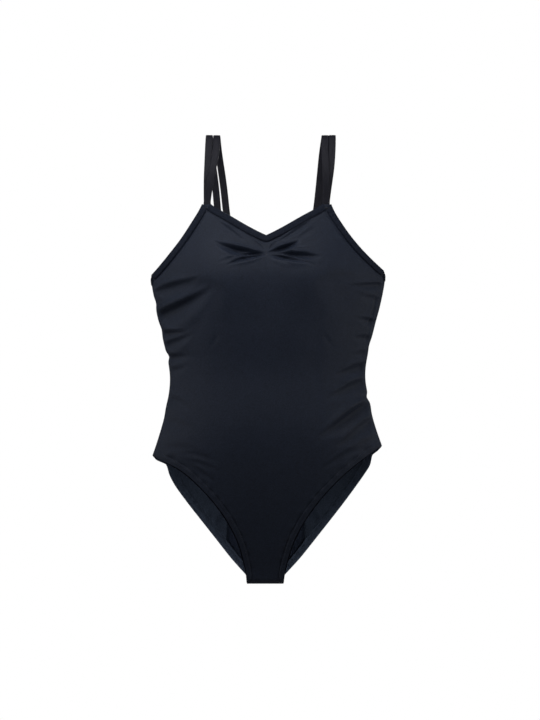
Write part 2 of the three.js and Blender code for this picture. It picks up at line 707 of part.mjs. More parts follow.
/** Frames along a line: its point, the way along and across the strap, and the way out of it. */
function strapFrames(line) {
  return line.map(({ origin, lie, along: level }, n) => {
    const [before, after] = [line[Math.max(n - 1, 0)], line[Math.min(n + 1, line.length - 1)]];
    const along = level ?? after.origin.clone().sub(before.origin).normalize();
    const across = lie.clone().addScaledVector(along, -along.dot(lie)).normalize();
    return { origin, along, across, out: across.clone().cross(along) };
  });
}

/** A flat band on a strap's frames, between two distances out of its underside. */
function bandOn(frames, halfWidth, inner, outer) {
  return block(1, frames.length - 1, (column, row, layer) => {
    const { origin, across, out } = frames[row];
    return origin
      .clone()
      .addScaledVector(across, (2 * column - 1) * halfWidth)
      .addScaledVector(out, layer ? outer : inner);
  });
}

/** The frames with both ends moved out along the strap, for a cut that has to pass right through. */
function lengthened(frames, by) {
  const moved = frames.map((frame) => ({ ...frame }));
  const [first, last] = [moved[0], moved.at(-1)];
  first.origin = first.origin.clone().addScaledVector(first.along, -by);
  last.origin = last.origin.clone().addScaledVector(last.along, by);
  return moved;
}

/** Adds one strap of the left pair and its mirror image: a folded tube of cloth with elastic inside. */
function addStrap(name, side) {
  const frames = strapFrames(strapLine(side));
  const casing = bandOn(frames, STRAP_WIDTH / 2, 0, STRAP_THICKNESS);
  const hollow = bandOn(
    lengthened(frames, 2),
    STRAP_WIDTH / 2 - STRAP_CLOTH,
    STRAP_CLOTH,
    STRAP_THICKNESS - STRAP_CLOTH,
  );
  const core = bandOn(
    frames,
    STRAP_WIDTH / 2 - STRAP_CLOTH - GAP,
    STRAP_CLOTH + GAP,
    STRAP_CLOTH + GAP + STRAP_ELASTIC,
  );
  addPair(`${name}_strap`, cut(casing, hollow), strapCloth);
  addPair(`${name}_strap_elastic`, core, elasticCord);
}
addStrap("inner", -1);
addStrap("outer", 1);

/** Adds a bar tack that holds a strap's end, sewn through the binding onto its outer face. */
function addTack(name, facing, x, edgeHeight) {
  const lift = 2 * GAP + BINDING_CLOTH;
  const centre = point2(x, edgeHeight - BINDING_DEPTH / 2);
  addPair(name, patch(facing, centre, TACK_LENGTH, TACK_HEIGHT, lift, lift + THREAD, 2, 1), sewingThread);
}
addTack("front_bar_tack", FRONT, PEAK_CENTRE, PEAK_HEIGHT - 1);
addTack("back_inner_bar_tack", BACK, STRAP_BACK_CENTRE - STRAP_BACK_PITCH / 2, backTop(STRAP_BACK_CENTRE));
addTack("back_outer_bar_tack", BACK, STRAP_BACK_CENTRE + STRAP_BACK_PITCH / 2, backTop(STRAP_BACK_CENTRE));

export default leotard;
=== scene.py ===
"""A camisole gymnastics leotard in navy-black stretch knit, shaped as it is worn or hung by its straps."""

import logging
import math
from collections.abc import Callable, Sequence
from dataclasses import dataclass, field
from enum import Enum
from functools import cached_property

import bmesh
import bpy
import numpy as np
from mathutils import Matrix, Vector


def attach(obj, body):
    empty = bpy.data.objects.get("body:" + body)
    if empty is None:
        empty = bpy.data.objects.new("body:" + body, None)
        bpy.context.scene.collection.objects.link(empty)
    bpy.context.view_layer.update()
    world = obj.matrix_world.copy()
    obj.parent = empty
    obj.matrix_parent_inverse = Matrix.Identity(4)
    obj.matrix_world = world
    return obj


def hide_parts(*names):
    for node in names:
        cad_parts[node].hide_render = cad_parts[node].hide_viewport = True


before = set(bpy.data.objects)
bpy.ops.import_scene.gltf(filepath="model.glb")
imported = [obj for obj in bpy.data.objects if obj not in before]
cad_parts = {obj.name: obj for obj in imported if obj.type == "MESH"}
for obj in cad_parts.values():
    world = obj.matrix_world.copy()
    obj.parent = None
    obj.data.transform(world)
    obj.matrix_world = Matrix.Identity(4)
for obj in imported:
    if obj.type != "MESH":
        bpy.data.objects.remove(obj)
log = logging.getLogger("leotard")

MM = 0.001
Array = np.ndarray
Place = Callable[[Array, Array], Array]


class Side(Enum):
    """The two faces of the garment; the value is the sign of Y on that face."""

    FRONT = -1.0
    BACK = 1.0


# ------------------------------------------------------------------------------------------- curves


def by_height(points: Sequence[tuple[float, float]]) -> Callable[[Array], Array]:
    """A smooth function of height.

    Args:
        points: (value, height) pairs from the top down.

    Returns:
        A function from heights to values, constant beyond both ends.
    """
    p = np.array(points, float)
    last = len(p) - 1
    t = np.linspace(0, last, 241)
    i = np.minimum(t.astype(int), last - 1)
    w = (t - i)[:, None]
    p0, p1, p2, p3 = p[np.maximum(i - 1, 0)], p[i], p[i + 1], p[np.minimum(i + 2, last)]
    v0, v1 = (p2 - p0) / 2, (p3 - p1) / 2
    s = (2 * p1 - 2 * p2 + v0 + v1) * w**3 + (-3 * p1 + 3 * p2 - 2 * v0 - v1) * w**2 + v0 * w + p1
    order = np.argsort(s[:, 1])
    heights, values = s[order, 1], s[order, 0]
    return lambda height: np.interp(height, heights, values)


def bezier(controls: Sequence[tuple[float, float]], count: int = 120) -> Array:
    """Points along a Bezier curve through its first and last control points.

    Args:
        controls: The control points.
        count: How many gaps between the points.

    Returns:
        count + 1 points, one a row.
    """
    t = np.linspace(0, 1, count + 1)[:, None]
    degree = len(controls) - 1
    terms = [
        math.comb(degree, k) * t**k * (1 - t) ** (degree - k) * np.array(c, float)
        for k, c in enumerate(controls)
    ]
    return sum(terms)


def evenly(points: Array, count: int, start: float = 0.0, end: float = 1.0) -> Array:
    """Places evenly spaced along a polyline.

    Args:
        points: The polyline, one point a row.
        count: How many gaps between the places.
        start: Where the first place lies, as a share of the length.
        end: Where the last place lies.

    Returns:
        count + 1 points.
    """
    run = np.concatenate([[0], np.cumsum(np.linalg.norm(np.diff(points, axis=0), axis=1))])
    at = np.linspace(start, end, count + 1) * run[-1]
    return np.stack([np.interp(at, run, points[:, k]) for k in range(points.shape[1])], axis=1)


def smooth_step(low: float, high: float, x: Array) -> Array:
    """0 below low, 1 above high and smooth between; low may be the larger."""
    t = np.clip((x - low) / (high - low), 0, 1)
    return t * t * (3 - 2 * t)


# ------------------------------------------------------------------------------------------- folds


@dataclass(frozen=True)
class Fold:
    """A soft valley in the cloth with a ridge along it, in millimetres.

    The valley runs from start to end as (x, height), bows sideways by bend and is deepest at the share peak.
    Its upper wall is steep, like a lip that hangs over; its lower wall is slack times as wide.
    """

    start: tuple[float, float]
    end: tuple[float, float]
    depth: float
    width: float
    bend: float = 0.0
    peak: float = 0.35
    ridge: float = 0.55
    slack: float = 1.7

    def lift(self, x: Array, height: Array) -> Array:
        """How far the fold moves the cloth outwards at each place.

        Args:
            x: Distance from the middle.
            height: Height along the cloth.

        Returns:
            Millimetres, negative in the valley.
        """
        a, b = np.array(self.start), np.array(self.end)
        run = b - a
        length = np.hypot(*run)
        along = run / length
        dx, dz = x - a[0], height - a[1]
        t = (dx * along[0] + dz * along[1]) / length
        across = -dx * along[1] + dz * along[0]
        across = across - self.bend * 4 * t * (1 - t)
        inside = np.clip(t, 0, 1)
        rise = np.where(inside < self.peak, inside / self.peak, (1 - inside) / (1 - self.peak))
        taper = np.sin(rise * np.pi / 2) ** 1.2
        width = self.width * (0.35 + 0.65 * taper)
        above = across * math.copysign(1, along[0]) / width
        q = np.where(above > 0, above, above / self.slack)
        valley = np.exp(-(np.abs(q) ** np.where(above > 0, 2.8, 2.0)))
        lip = np.where(above > 0, self.ridge, self.ridge / 2) * np.exp(-((np.abs(q) - 1.8) ** 2) / 0.6)
        shape = lip - valley
        return self.depth * taper * shape * (t > 0) * (t < 1)


PINCH_FOLDS = (
    Fold((-1, -184), (-80, -166), 8.6, 3.3, bend=4.0, peak=0.5, ridge=0.3, slack=2.4),
    Fold((-1, -185.5), (-46, -184.0), 5.4, 2.2, bend=0.4, peak=0.45, ridge=0.3),
    Fold((-1, -187), (-64, -204), 6.4, 2.2, bend=-3.6, peak=0.4, ridge=0.4),
    Fold((-8, -188), (-78, -200), 1.2, 2.2, bend=-4.0, peak=0.6),
    Fold((1, -184), (52, -166), 7.6, 2.8, bend=-1.6, peak=0.5, ridge=0.35),
    Fold((1, -185.5), (86, -193), 8.6, 3.3, bend=1.8, peak=0.48, ridge=0.3, slack=2.4),
    Fold((6, -182), (72, -177), 1.1, 2.0, bend=-1.0, peak=0.5),
    Fold((3, -187), (76, -206), 5.6, 2.1, bend=2.2, peak=0.35, ridge=0.4),
    Fold((3, -188), (40, -206), 1.5, 2.0, bend=1.4, peak=0.4),
    Fold((-0.5, -191), (0.5, -216), 0.4, 1.4, peak=0.2),
    Fold((-3, -180), (-22, -162), 1.0, 2.2, peak=0.4),
    Fold((3, -180), (20, -163), 1.0, 2.2, peak=0.4),
    Fold((-30, -166), (-74, -134), 1.8, 2.4, bend=1.5, peak=0.6),
    Fold((-40, -167), (-70, -148), 0.7, 2.6, peak=0.5),
    Fold((16, -168), (80, -127), 2.4, 2.4, bend=-1.0, peak=0.5),
    Fold((44, -166), (84, -140), 0.7, 2.6, peak=0.5),
)

SIDE_FOLDS = (
    Fold((-178, -242), (-104, -221), 3.8, 6.5, bend=-3.0, peak=0.4),
    Fold((-184, -286), (-84, -236), 6.2, 8.0, bend=-5.5, peak=0.3),
    Fold((-172, -306), (-118, -302), 3.4, 4.4, bend=-1.5, peak=0.22),
    Fold((-168, -327), (-112, -305), 3.4, 4.4, bend=-2.0, peak=0.25),
    Fold((-160, -345), (-120, -341), 2.2, 4.0, peak=0.22),
    Fold((-156, -366), (-124, -358), 1.2, 4.0, peak=0.25),
    Fold((-157, -405), (-112, -428), 1.6, 5.0, bend=1.5, peak=0.3),
    Fold((-163, -440), (-106, -462), 1.2, 5.5, bend=2.0, peak=0.3),
    Fold((-166, -474), (-84, -498), 1.1, 4.5, bend=1.5, peak=0.4),
    Fold((-136, -490), (-70, -506), 0.8, 3.4, bend=1.5, peak=0.4),
    Fold((-130, -500), (-66, -522), 0.9, 3.0, bend=1.5, peak=0.4),
    Fold((-120, -510), (-76, -540), 1.1, 3.0, bend=1.5, peak=0.4),
    Fold((183, -235), (118, -237), 2.2, 3.4, bend=1.0, peak=0.3),
    Fold((176, -262), (134, -252), 1.0, 4.0, peak=0.3),
    Fold((174, -297), (134, -286), 2.4, 3.8, peak=0.22),
    Fold((168, -321), (130, -316), 2.6, 4.0, peak=0.22),
    Fold((164, -342), (126, -344), 1.6, 4.0, peak=0.25),
    Fold((160, -358), (100, -376), 3.2, 5.6, bend=1.5, peak=0.3),
    Fold((158, -380), (88, -412), 3.8, 6.2, bend=2.0, peak=0.35),
    Fold((165, -412), (78, -472), 6.8, 7.6, bend=3.0, peak=0.42),
    Fold((170, -438), (108, -486), 5.0, 6.6, bend=2.0, peak=0.42),
    Fold((174, -470), (106, -502), 2.2, 5.0, bend=1.5, peak=0.4),
    Fold((136, -492), (76, -524), 1.2, 3.4, bend=-1.5, peak=0.4),
    Fold((174, -222), (150, -350), 2.6, 1.9, bend=-3.0, peak=0.4, ridge=0.4, slack=1.0),
    Fold((-74, -306), (-92, -334), 0.7, 2.6, peak=0.4),
    Fold((82, -306), (104, -336), 0.7, 2.6, peak=0.4),
    Fold((70, -236), (142, -226), 3.0, 13.0, bend=2.0, peak=0.5, ridge=0.0, slack=3.0),
    Fold((-62, -245), (-136, -234), 3.0, 13.0, bend=-2.0, peak=0.5, ridge=0.0, slack=3.0),
)

BACK_FOLDS = (
    Fold((-172, -292), (-104, -300), 2.2, 7.0, bend=2.0, peak=0.3),
    Fold((-164, -322), (-96, -336), 2.0, 7.0, bend=2.0, peak=0.3),
    Fold((-158, -350), (-60, -372), 1.8, 8.0, bend=3.0, peak=0.35),
    Fold((-158, -396), (-84, -384), 1.6, 7.0, bend=-2.0, peak=0.3),
    Fold((-166, -430), (-92, -414), 1.5, 7.0, bend=-2.0, peak=0.3),
    Fold((170, -286), (100, -298), 2.0, 7.0, bend=-2.0, peak=0.3),
    Fold((164, -318), (92, -330), 2.2, 7.0, bend=-2.0, peak=0.3),
    Fold((157, -352), (54, -366), 1.8, 8.0, bend=-3.0, peak=0.35),
    Fold((157, -390), (76, -380), 1.6, 7.0, bend=2.0, peak=0.3),
    Fold((168, -428), (98, -408), 1.5, 7.0, bend=2.0, peak=0.3),
    Fold((-86, -622), (-22, -566), 1.5, 7.0, bend=3.0, peak=0.45),
    Fold((88, -618), (26, -560), 1.5, 7.0, bend=-3.0, peak=0.45),
    Fold((-48, -318), (44, -326), 1.0, 8.0, bend=3.0, peak=0.5),
)


# ------------------------------------------------------------------------------------------- the form


@dataclass(frozen=True)
class Notch:
    """A small dent in the garment's outline where a fold meets the side seam, in millimetres."""

    side: int
    height: float
    depth: float
    width: float

    def dent(self, x: Array, z: Array) -> Array:
        """How far the outline moves in at each place."""
        return self.depth * np.exp(-(((z - self.height) / self.width) ** 2)) * (np.sign(x) == self.side)


SIDE_NOTCHES = (
    Notch(-1, -342, 2.8, 6),
    Notch(-1, -300, 1.2, 9),
    Notch(-1, -258, 1.2, 8),
    Notch(1, -411, 2.6, 6),
    Notch(1, -330, 1.0, 9),
)


@dataclass(frozen=True)
class Form:
    """The shape that the garment takes, in millimetres, with its outline and its edges.

    Places on the cloth are (x, height); heights count down along the cloth and run on round the crotch fold.
    The leg controls shape a leg opening's curve, as shares of the way across and down from hip to crotch.
    """

    underarm: tuple[float, float] = (182.0, -216.0)
    waist: tuple[float, float] = (151.5, -371.0)
    hip: tuple[float, float] = (180.0, -487.5)
    hip_hollow: float = 5.0
    neck_dip: float = -157.5
    neck_sag: float = 3.4
    peak_height: float = -106.0
    peak_centre: float = 93.5
    peak_width: float = 11.0
    back_dip: float = -300.0
    underbust: float = -300.0
    crotch_bottom: float = -700.0
    crotch_half_width: float = 31.0
    crotch_radius: float = 12.0
    bust_depth: float = 58.0
    waist_depth: float = 44.0
    belly_depth: float = 50.0
    upper_back_depth: float = 38.0
    waist_back_depth: float = 36.0
    seat_depth: float = 62.0
    fullness: float = 2.6
    cup_centre: float = 72.0
    cup_radius: float = 38.0
    cup_depth: float = 8.0
    armhole_hollow: float = 13.0
    scoop_sag: float = 24.0
    front_leg_controls: tuple[tuple[float, float], ...] = ((0.53, 0.21), (0.99, 0.61))
    back_leg_controls: tuple[tuple[float, float], ...] = ((0.35, 0.43), (0.52, 0.565))
    hem_depth: float = 8.6
    binding_depth: float = 10.2
    skew: float = 0.018
    low_hip_drop: float = 9.0
    crotch_narrowing: float = 0.085
    pinch_drop: float = 1.9
    strap_drop: float = 2.6
    peak_drop: float = 3.6

    @property
    def fold_top(self) -> float:
        """The height where the crotch fold begins."""
        return self.crotch_bottom + self.crotch_radius

    @property
    def fold_end(self) -> float:
        """The bottom of the crotch fold, counted along the cloth."""
        return self.fold_top - self.crotch_radius * math.pi / 2

    @property
    def peak_inner(self) -> float:
        """Where the neckline meets a peak."""
        return self.peak_centre - self.peak_width / 2

    @property
    def peak_outer(self) -> float:
        """Where the armhole meets a peak."""
        return self.peak_centre + self.peak_width / 2

    def leg_height(self, share: float) -> float:
        """The height a share of the way down the leg opening."""
        return self.hip[1] + share * (self.fold_top - self.hip[1])

    @cached_property
    def side_seam(self) -> Callable[[Array], Array]:
        """Half the garment's width, from underarm to hip.

        Returns:
            A function of height.
        """
        (ux, uz), (wx, wz), (hx, hz) = self.underarm, self.waist, self.hip
        ribs = ((ux + wx) / 2, (uz + wz) / 2)
        high_hip = ((wx + hx) / 2 - self.hip_hollow, (wz + hz) / 2)
        return by_height([self.underarm, ribs, self.waist, high_hip, self.hip])

    @cached_property
    def front_depth(self) -> Callable[[Array], Array]:
        """How far the middle of the front stands out.

        Returns:
            A function of height.
        """
        bust, waist, belly = self.bust_depth, self.waist_depth, self.belly_depth
        return by_height([
            (0.62 * bust, self.peak_height),
            (0.8 * bust, self.neck_dip),
            (bust, self.underarm[1]),
            ((bust + waist) / 2, self.underbust),
            (waist, self.waist[1]),
            (belly, self.hip[1] + 25),
            (0.84 * belly, self.leg_height(0.3)),
            (0.52 * belly, self.leg_height(0.7)),
            (1.25 * self.crotch_radius, self.leg_height(0.92)),
            (self.crotch_radius, self.fold_top),
        ])

    @cached_property
    def back_depth(self) -> Callable[[Array], Array]:
        """How far the middle of the back stands out.

        Returns:
            A function of height.
        """
        return by_height([
            (0.8 * self.upper_back_depth, self.underarm[1]),
            (self.upper_back_depth, self.back_dip),
            (self.waist_back_depth, self.waist[1]),
            (self.seat_depth, self.leg_height(0.15)),
            (0.87 * self.seat_depth, self.leg_height(0.5)),
            (0.46 * self.seat_depth, self.leg_height(0.8)),
            (1.35 * self.crotch_radius, self.leg_height(0.93)),
            (self.crotch_radius, self.fold_top),
        ])

    def form_half_width(self, height: Array) -> Array:
        """Half the width of the body form, which runs on past the leg openings.

        Args:
            height: Heights along the cloth.

        Returns:
            The half width at each height.
        """
        hx, hz = self.hip
        share = np.clip((hz - height) / (hz - self.crotch_bottom), 0, 1)
        return np.where(height >= hz, self.side_seam(height), hx * (1 - 0.2 * share))

    def leg_edge(self, side: Side) -> Array:
        """The left leg opening's edge, from the hip to the crotch.

        Args:
            side: Which face of the garment.

        Returns:
            Points, one a row.
        """
        controls = self.front_leg_controls if side is Side.FRONT else self.back_leg_controls
        (hx, hz), cx, cz = self.hip, self.crotch_half_width, self.fold_top
        inner = [(hx + a * (cx - hx), hz + d * (cz - hz)) for a, d in controls]
        return bezier([self.hip, *inner, (cx, cz)])

    @cached_property
    def neckline(self) -> Array:
        """Points along the left half of the neckline, from its dip to the peak."""
        middle = (self.peak_inner / 2, (self.neck_dip + self.peak_height) / 2 - 2 * self.neck_sag)
        return bezier([(0, self.neck_dip), middle, (self.peak_inner, self.peak_height)])

    @cached_property
    def armhole(self) -> Array:
        """Points along the left armhole, from the peak to the underarm."""
        (ux, uz), x, z = self.underarm, self.peak_outer, self.peak_height
        return bezier([(x, z), ((x + ux) / 2 - self.armhole_hollow, (z + uz) / 2), self.underarm])

    @cached_property
    def scoop(self) -> Array:
        """The left half of the back edge, from the underarm to its dip.

        Returns:
            Points, one a row.
        """
        ux, uz = self.underarm
        first = (0.7 * ux, uz + 0.3 * (self.back_dip - uz) - self.scoop_sag)
        return bezier([self.underarm, first, (0.44 * ux, self.back_dip), (0, self.back_dip)])

    def top(self, side: Side, x: Array) -> Array:
        """The height of the top edge.

        Args:
            side: Which face of the garment.
            x: Distance from the middle.

        Returns:
            The height at each distance.
        """
        out = np.abs(x)
        if side is Side.BACK:
            edge = self.scoop[::-1]
            return np.interp(out, edge[:, 0], edge[:, 1])
        edge = np.concatenate([self.neckline, self.armhole])
        return np.interp(out, edge[:, 0], edge[:, 1])

    def surface(self, side: Side, x: Array, height: Array) -> Array:
        """The smooth outer face of the cloth.

        Args:
            side: Which face of the garment.
            x: Distance from the middle.
            height: Height along the cloth.

        Returns:
            One point a row.
        """
        round_fold = np.maximum(0, self.fold_top - height) / self.crotch_radius
        top = np.maximum(height, self.fold_top)
        out = np.clip(np.abs(x) / self.form_half_width(top), 0, 1.02)
        depth = (self.front_depth if side is Side.FRONT else self.back_depth)(top)
        depth = depth * (1 - out**self.fullness)
        if side is Side.FRONT:
            away = np.hypot(np.abs(x) - self.cup_centre, height - self.underarm[1]) / self.cup_radius
            depth = depth + self.cup_depth * np.exp(-0.5 * away**2) * (1 - out**4)
        y = side.value * depth * np.cos(round_fold)
        return np.stack([x, y, top - self.crotch_radius * np.sin(round_fold)], axis=-1)

    @cached_property
    def leg_edges(self) -> dict[Side, Array]:
        """Both edges of the left leg opening."""
        return {side: self.leg_edge(side) for side in Side}

    def from_leg(self, side: Side, x: Array, height: Array) -> tuple[Array, Array]:
        """How each place lies to the leg opening's edge.

        Args:
            side: Which face of the garment.
            x: Distance from the middle.
            height: Height along the cloth.

        Returns:
            The distance from the edge, and the length along the edge to its nearest place.
        """
        edge = evenly(self.leg_edges[side], 160)
        run = np.concatenate([[0], np.cumsum(np.linalg.norm(np.diff(edge, axis=0), axis=1))])
        gap = np.hypot(np.abs(x)[..., None] - edge[:, 0], height[..., None] - edge[:, 1])
        nearest = gap.argmin(axis=-1)
        return gap.min(axis=-1), run[nearest]

    @cached_property
    def top_edges(self) -> dict[Side, Array]:
        """The left half of each panel's top edge.

        Returns:
            Points of each face's edge, one a row.
        """
        return {
            Side.FRONT: evenly(np.concatenate([self.neckline, self.armhole[1:]]), 120),
            Side.BACK: evenly(self.scoop, 120),
        }

    def from_top(self, side: Side, x: Array, height: Array) -> Array:
        """The distance from the panel's top edge."""
        edge = self.top_edges[side]
        return np.hypot(np.abs(x)[..., None] - edge[:, 0], height[..., None] - edge[:, 1]).min(axis=-1)

    def relief(self, side: Side, x: Array, height: Array) -> Array:
        """How far folds, gathers, puckers and seam troughs move the cloth outwards.

        Args:
            side: Which face of the garment.
            x: Distance from the middle.
            height: Height along the cloth.

        Returns:
            Millimetres, negative inwards.
        """
        lift = np.zeros_like(x)
        for fold in (*PINCH_FOLDS, *SIDE_FOLDS) if side is Side.FRONT else BACK_FOLDS:
            lift += fold.lift(x, height)
        edge = self.form_half_width(np.maximum(height, self.fold_top)) - np.abs(x)
        lift *= smooth_step(0, 9, edge)
        away, along = self.from_leg(side, x, height)
        wobble = np.sin(along / 3.1 + 1.7 * np.sin(along / 17) + np.sign(x))
        hem = np.exp(-(((away - 9) / 4.5) ** 2)) * 0.6 * wobble
        trough = -0.9 * np.exp(-(((away - self.hem_depth) / 1.2) ** 2))
        stitched = trough + 0.7 * smooth_step(self.hem_depth + 0.9, self.hem_depth - 3.1, away)
        lift += (hem + stitched) * smooth_step(2, 14, edge) * (height < self.hip[1] + 24)
        below = self.from_top(side, x, height)
        return lift - 1.3 * np.exp(-(((below - self.binding_depth) / 1.1) ** 2)) * smooth_step(0, 12, edge)

    def on_cloth(self, side: Side, x: Array, height: Array, lift: Array | float = 0.0) -> Array:
        """Points at a distance outside the cloth's outer face, folds included.

        Args:
            side: Which face of the garment.
            x: Distance from the middle.
            height: Height along the cloth.
            lift: The distance outside the face, negative inside.

        Returns:
            One point a row.
        """
        x, height = np.broadcast_arrays(np.asarray(x, float), np.asarray(height, float))
        step = 0.05
        du = self.surface(side, x + step, height) - self.surface(side, x - step, height)
        dv = self.surface(side, x, height + step) - self.surface(side, x, height - step)
        normal = np.cross(du, dv) * -side.value
        normal /= np.linalg.norm(normal, axis=-1, keepdims=True)
        out = np.asarray(lift) + self.relief(side, x, height)
        return self.surface(side, x, height) + normal * np.expand_dims(out, -1)

    @cached_property
    def lean(self) -> Callable[[Array], Array]:
        """How far the hung garment leans to one side.

        Returns:
            A function of height.
        """
        return by_height([
            (7.3, 0), (5.4, -45), (0.8, -106), (0.2, -165), (0.6, -190), (3.4, -235), (2.3, -300),
            (2.3, -380), (3.0, -420), (1.4, -500), (0.5, -560), (-0.8, -650), (-1.5, -700),
        ])

    @cached_property
    def spread(self) -> Callable[[Array], Array]:
        """How far the sides settle outwards.

        Returns:
            A function of height.
        """
        return by_height([
            (0, -106), (-2.6, -124), (-3.4, -155), (-1.6, -185), (0.5, -212), (2.6, -230), (3.0, -270),
            (1.8, -300), (1.6, -345), (1.4, -400), (1.2, -420), (-0.3, -440), (-0.6, -470), (0, -500),
        ])

    def drop(self, x: Array, z: Array) -> Array:
        """How far each place hangs lower than on the even form.

        Args:
            x: Distance from the middle.
            z: Height.

        Returns:
            Millimetres downwards.
        """
        skewed = smooth_step(-112, -205, z) * smooth_step(-690, -520, z)
        low_hip = smooth_step(-118, -182, x) * np.exp(-(((z + 496) / 42) ** 2))
        pinch = np.exp(-(((z + 170) / 34) ** 2) - (x / 70) ** 2)
        peak = np.exp(-(((np.abs(x) - 91) / 30) ** 2) - ((z + 112) / 26) ** 2)
        strap = smooth_step(-70, 0, z)
        moved = self.low_hip_drop * low_hip - self.skew * x * skewed
        return moved + self.pinch_drop * pinch + self.strap_drop * strap + self.peak_drop * peak

    def curl(self, x: Array, y: Array, z: Array) -> Array:
        """How far the back's leg hem curls in beside the hips, more on the low side.

        Args:
            x: Distance from the middle.
            y: Depth, positive behind.
            z: Height.

        Returns:
            Millimetres towards the middle.
        """
        behind = smooth_step(100, 148, np.abs(x)) * smooth_step(0, 4, y)
        fade = np.where(z > -499, 7, np.where(x > 0, 14, 30))
        return behind * np.where(x > 0, 6, 12.5) * np.exp(-(((z + 499) / fade) ** 2))

    def settle(self, points: Array) -> Array:
        """Moves points as the hung garment settles: it leans, spreads and hangs lower on one side.

        Args:
            points: Points on the even form, one a row.

        Returns:
            The moved points.
        """
        x, y, z = np.moveaxis(points, -1, 0)
        out = np.clip(np.abs(x) / 150, 0, 1.1)
        dents = sum(notch.dent(x, z) for notch in SIDE_NOTCHES)
        narrowed = np.abs(x) * (1 - self.crotch_narrowing * smooth_step(-655, -699, z))
        reach = narrowed + self.spread(z) * out**2 - out**4 * dents - self.curl(x, y, z)
        tip = self.underarm[0] - 1
        reach = np.where(reach > tip, tip + 2.2 * np.tanh((reach - tip) / 2.2), reach)
        return np.stack([np.sign(x) * reach + self.lean(z), y, z - self.drop(x, z)], axis=-1)


FORM = Form()


# ------------------------------------------------------------------------------------------- meshes


def finished(name: str, mesh: bmesh.types.BMesh, finish: "Finish") -> bpy.types.Object:
    """Turns a finished bmesh into a smooth object in the scene.

    Args:
        name: The piece's name.
        mesh: The bmesh, in metres; it is freed.
        finish: The piece's finish.

    Returns:
        The new object.
    """
    data = bpy.data.meshes.new(name)
    mesh.to_mesh(data)
    mesh.free()
    data.shade_smooth()
    data.materials.append(finish.material)
    piece = bpy.data.objects.new(name, data)
    bpy.context.scene.collection.objects.link(piece)
    return piece


def laid(
    columns: int, rows: int, place: Place, size: tuple[float, float], weld: bool = False
) -> bmesh.types.BMesh:
    """A grid of cloth laid over a shape.

    Args:
        columns: Cells across.
        rows: Cells up.
        place: Gives the points, in millimetres, for arrays of column and row numbers.
        size: The cloth's width and length in millimetres, for the pattern's scale.
        weld: Whether edges that meet are joined.

    Returns:
        The mesh, in metres.
    """
    mesh = bmesh.new()
    bmesh.ops.create_grid(mesh, x_segments=columns, y_segments=rows, size=1.0)
    flat = np.array([v.co[:2] for v in mesh.verts])
    u, v = np.rint((flat[:, 0] + 1) / 2 * columns), np.rint((flat[:, 1] + 1) / 2 * rows)
    points = FORM.settle(place(u, v)) * MM
    weave = mesh.loops.layers.uv.new("cloth")
    for vert, point, a, b in zip(mesh.verts, points, u, v):
        vert.co = point
        for loop in vert.link_loops:
            loop[weave].uv = (a / columns * size[0] * MM, b / rows * size[1] * MM)
    if weld:
        bmesh.ops.remove_doubles(mesh, verts=mesh.verts, dist=1e-6)
    return mesh


def thicken(piece: bpy.types.Object, thickness: float, offset: float = -1.0) -> None:
    """Gives a sheet its thickness.

    Args:
        piece: The sheet.
        thickness: The thickness in millimetres.
        offset: -1 for inwards, 0 for both ways.
    """
    wall = piece.modifiers.new("cloth_thickness", "SOLIDIFY")
    wall.thickness = thickness * MM
    wall.offset = offset
    wall.use_even_offset = False


def facing_out(piece: bpy.types.Object, side: Side) -> None:
    """Turns an open sheet so that its faces look out of the garment.

    Args:
        piece: The sheet.
        side: Which face of the garment it lies on.
    """
    data = piece.data
    total = sum(face.normal.y * face.area for face in data.polygons)
    if total * side.value < 0:
        data.flip_normals()


# ------------------------------------------------------------------------------------------- finishes


def node_group(name: str, inputs: dict[str, float], outputs: Sequence[str]) -> bpy.types.ShaderNodeTree:
    """An empty shader group with one vector input called Place.

    Args:
        name: The group's name.
        inputs: Its number inputs and their starting values.
        outputs: Its number outputs.

    Returns:
        The group, with its input and output nodes.
    """
    group = bpy.data.node_groups.new(name, "ShaderNodeTree")
    group.interface.new_socket("Place", in_out="INPUT", socket_type="NodeSocketVector")
    for key, value in inputs.items():
        socket = group.interface.new_socket(key, in_out="INPUT", socket_type="NodeSocketFloat")
        socket.default_value = value
    for key in outputs:
        group.interface.new_socket(key, in_out="OUTPUT", socket_type="NodeSocketFloat")
    group.nodes.new("NodeGroupInput")
    group.nodes.new("NodeGroupOutput")
    return group


class Wiring:
    """A small helper that adds nodes to a tree and links them."""

    def __init__(self, tree: bpy.types.ShaderNodeTree) -> None:
        """Keeps the tree that nodes are added to."""
        self.tree = tree

    def add(self, kind: str, settings: dict | None = None, **inputs: object) -> bpy.types.ShaderNode:
        """Adds a node and sets or links its inputs.

        Args:
            kind: The node's type.
            settings: Its properties.
            **inputs: Values or sockets by input name, with _ for a space, or by number, as _0.

        Returns:
            The node.
        """
        node = self.tree.nodes.new(kind)
        for key, value in (settings or {}).items():
            setattr(node, key, value)
        for key, value in inputs.items():
            socket = node.inputs[int(key[1:])] if key[0] == "_" else node.inputs[key.replace("_", " ")]
            if isinstance(value, bpy.types.NodeSocket):
                self.tree.links.new(value, socket)
            else:
                socket.default_value = value
        return node

    def math(self, operation: str, *values: object) -> bpy.types.NodeSocket:
        """Adds a Math node and gives its result."""
        inputs = {f"_{n}": value for n, value in enumerate(values)}
        return self.add("ShaderNodeMath", {"operation": operation}, **inputs).outputs[0]


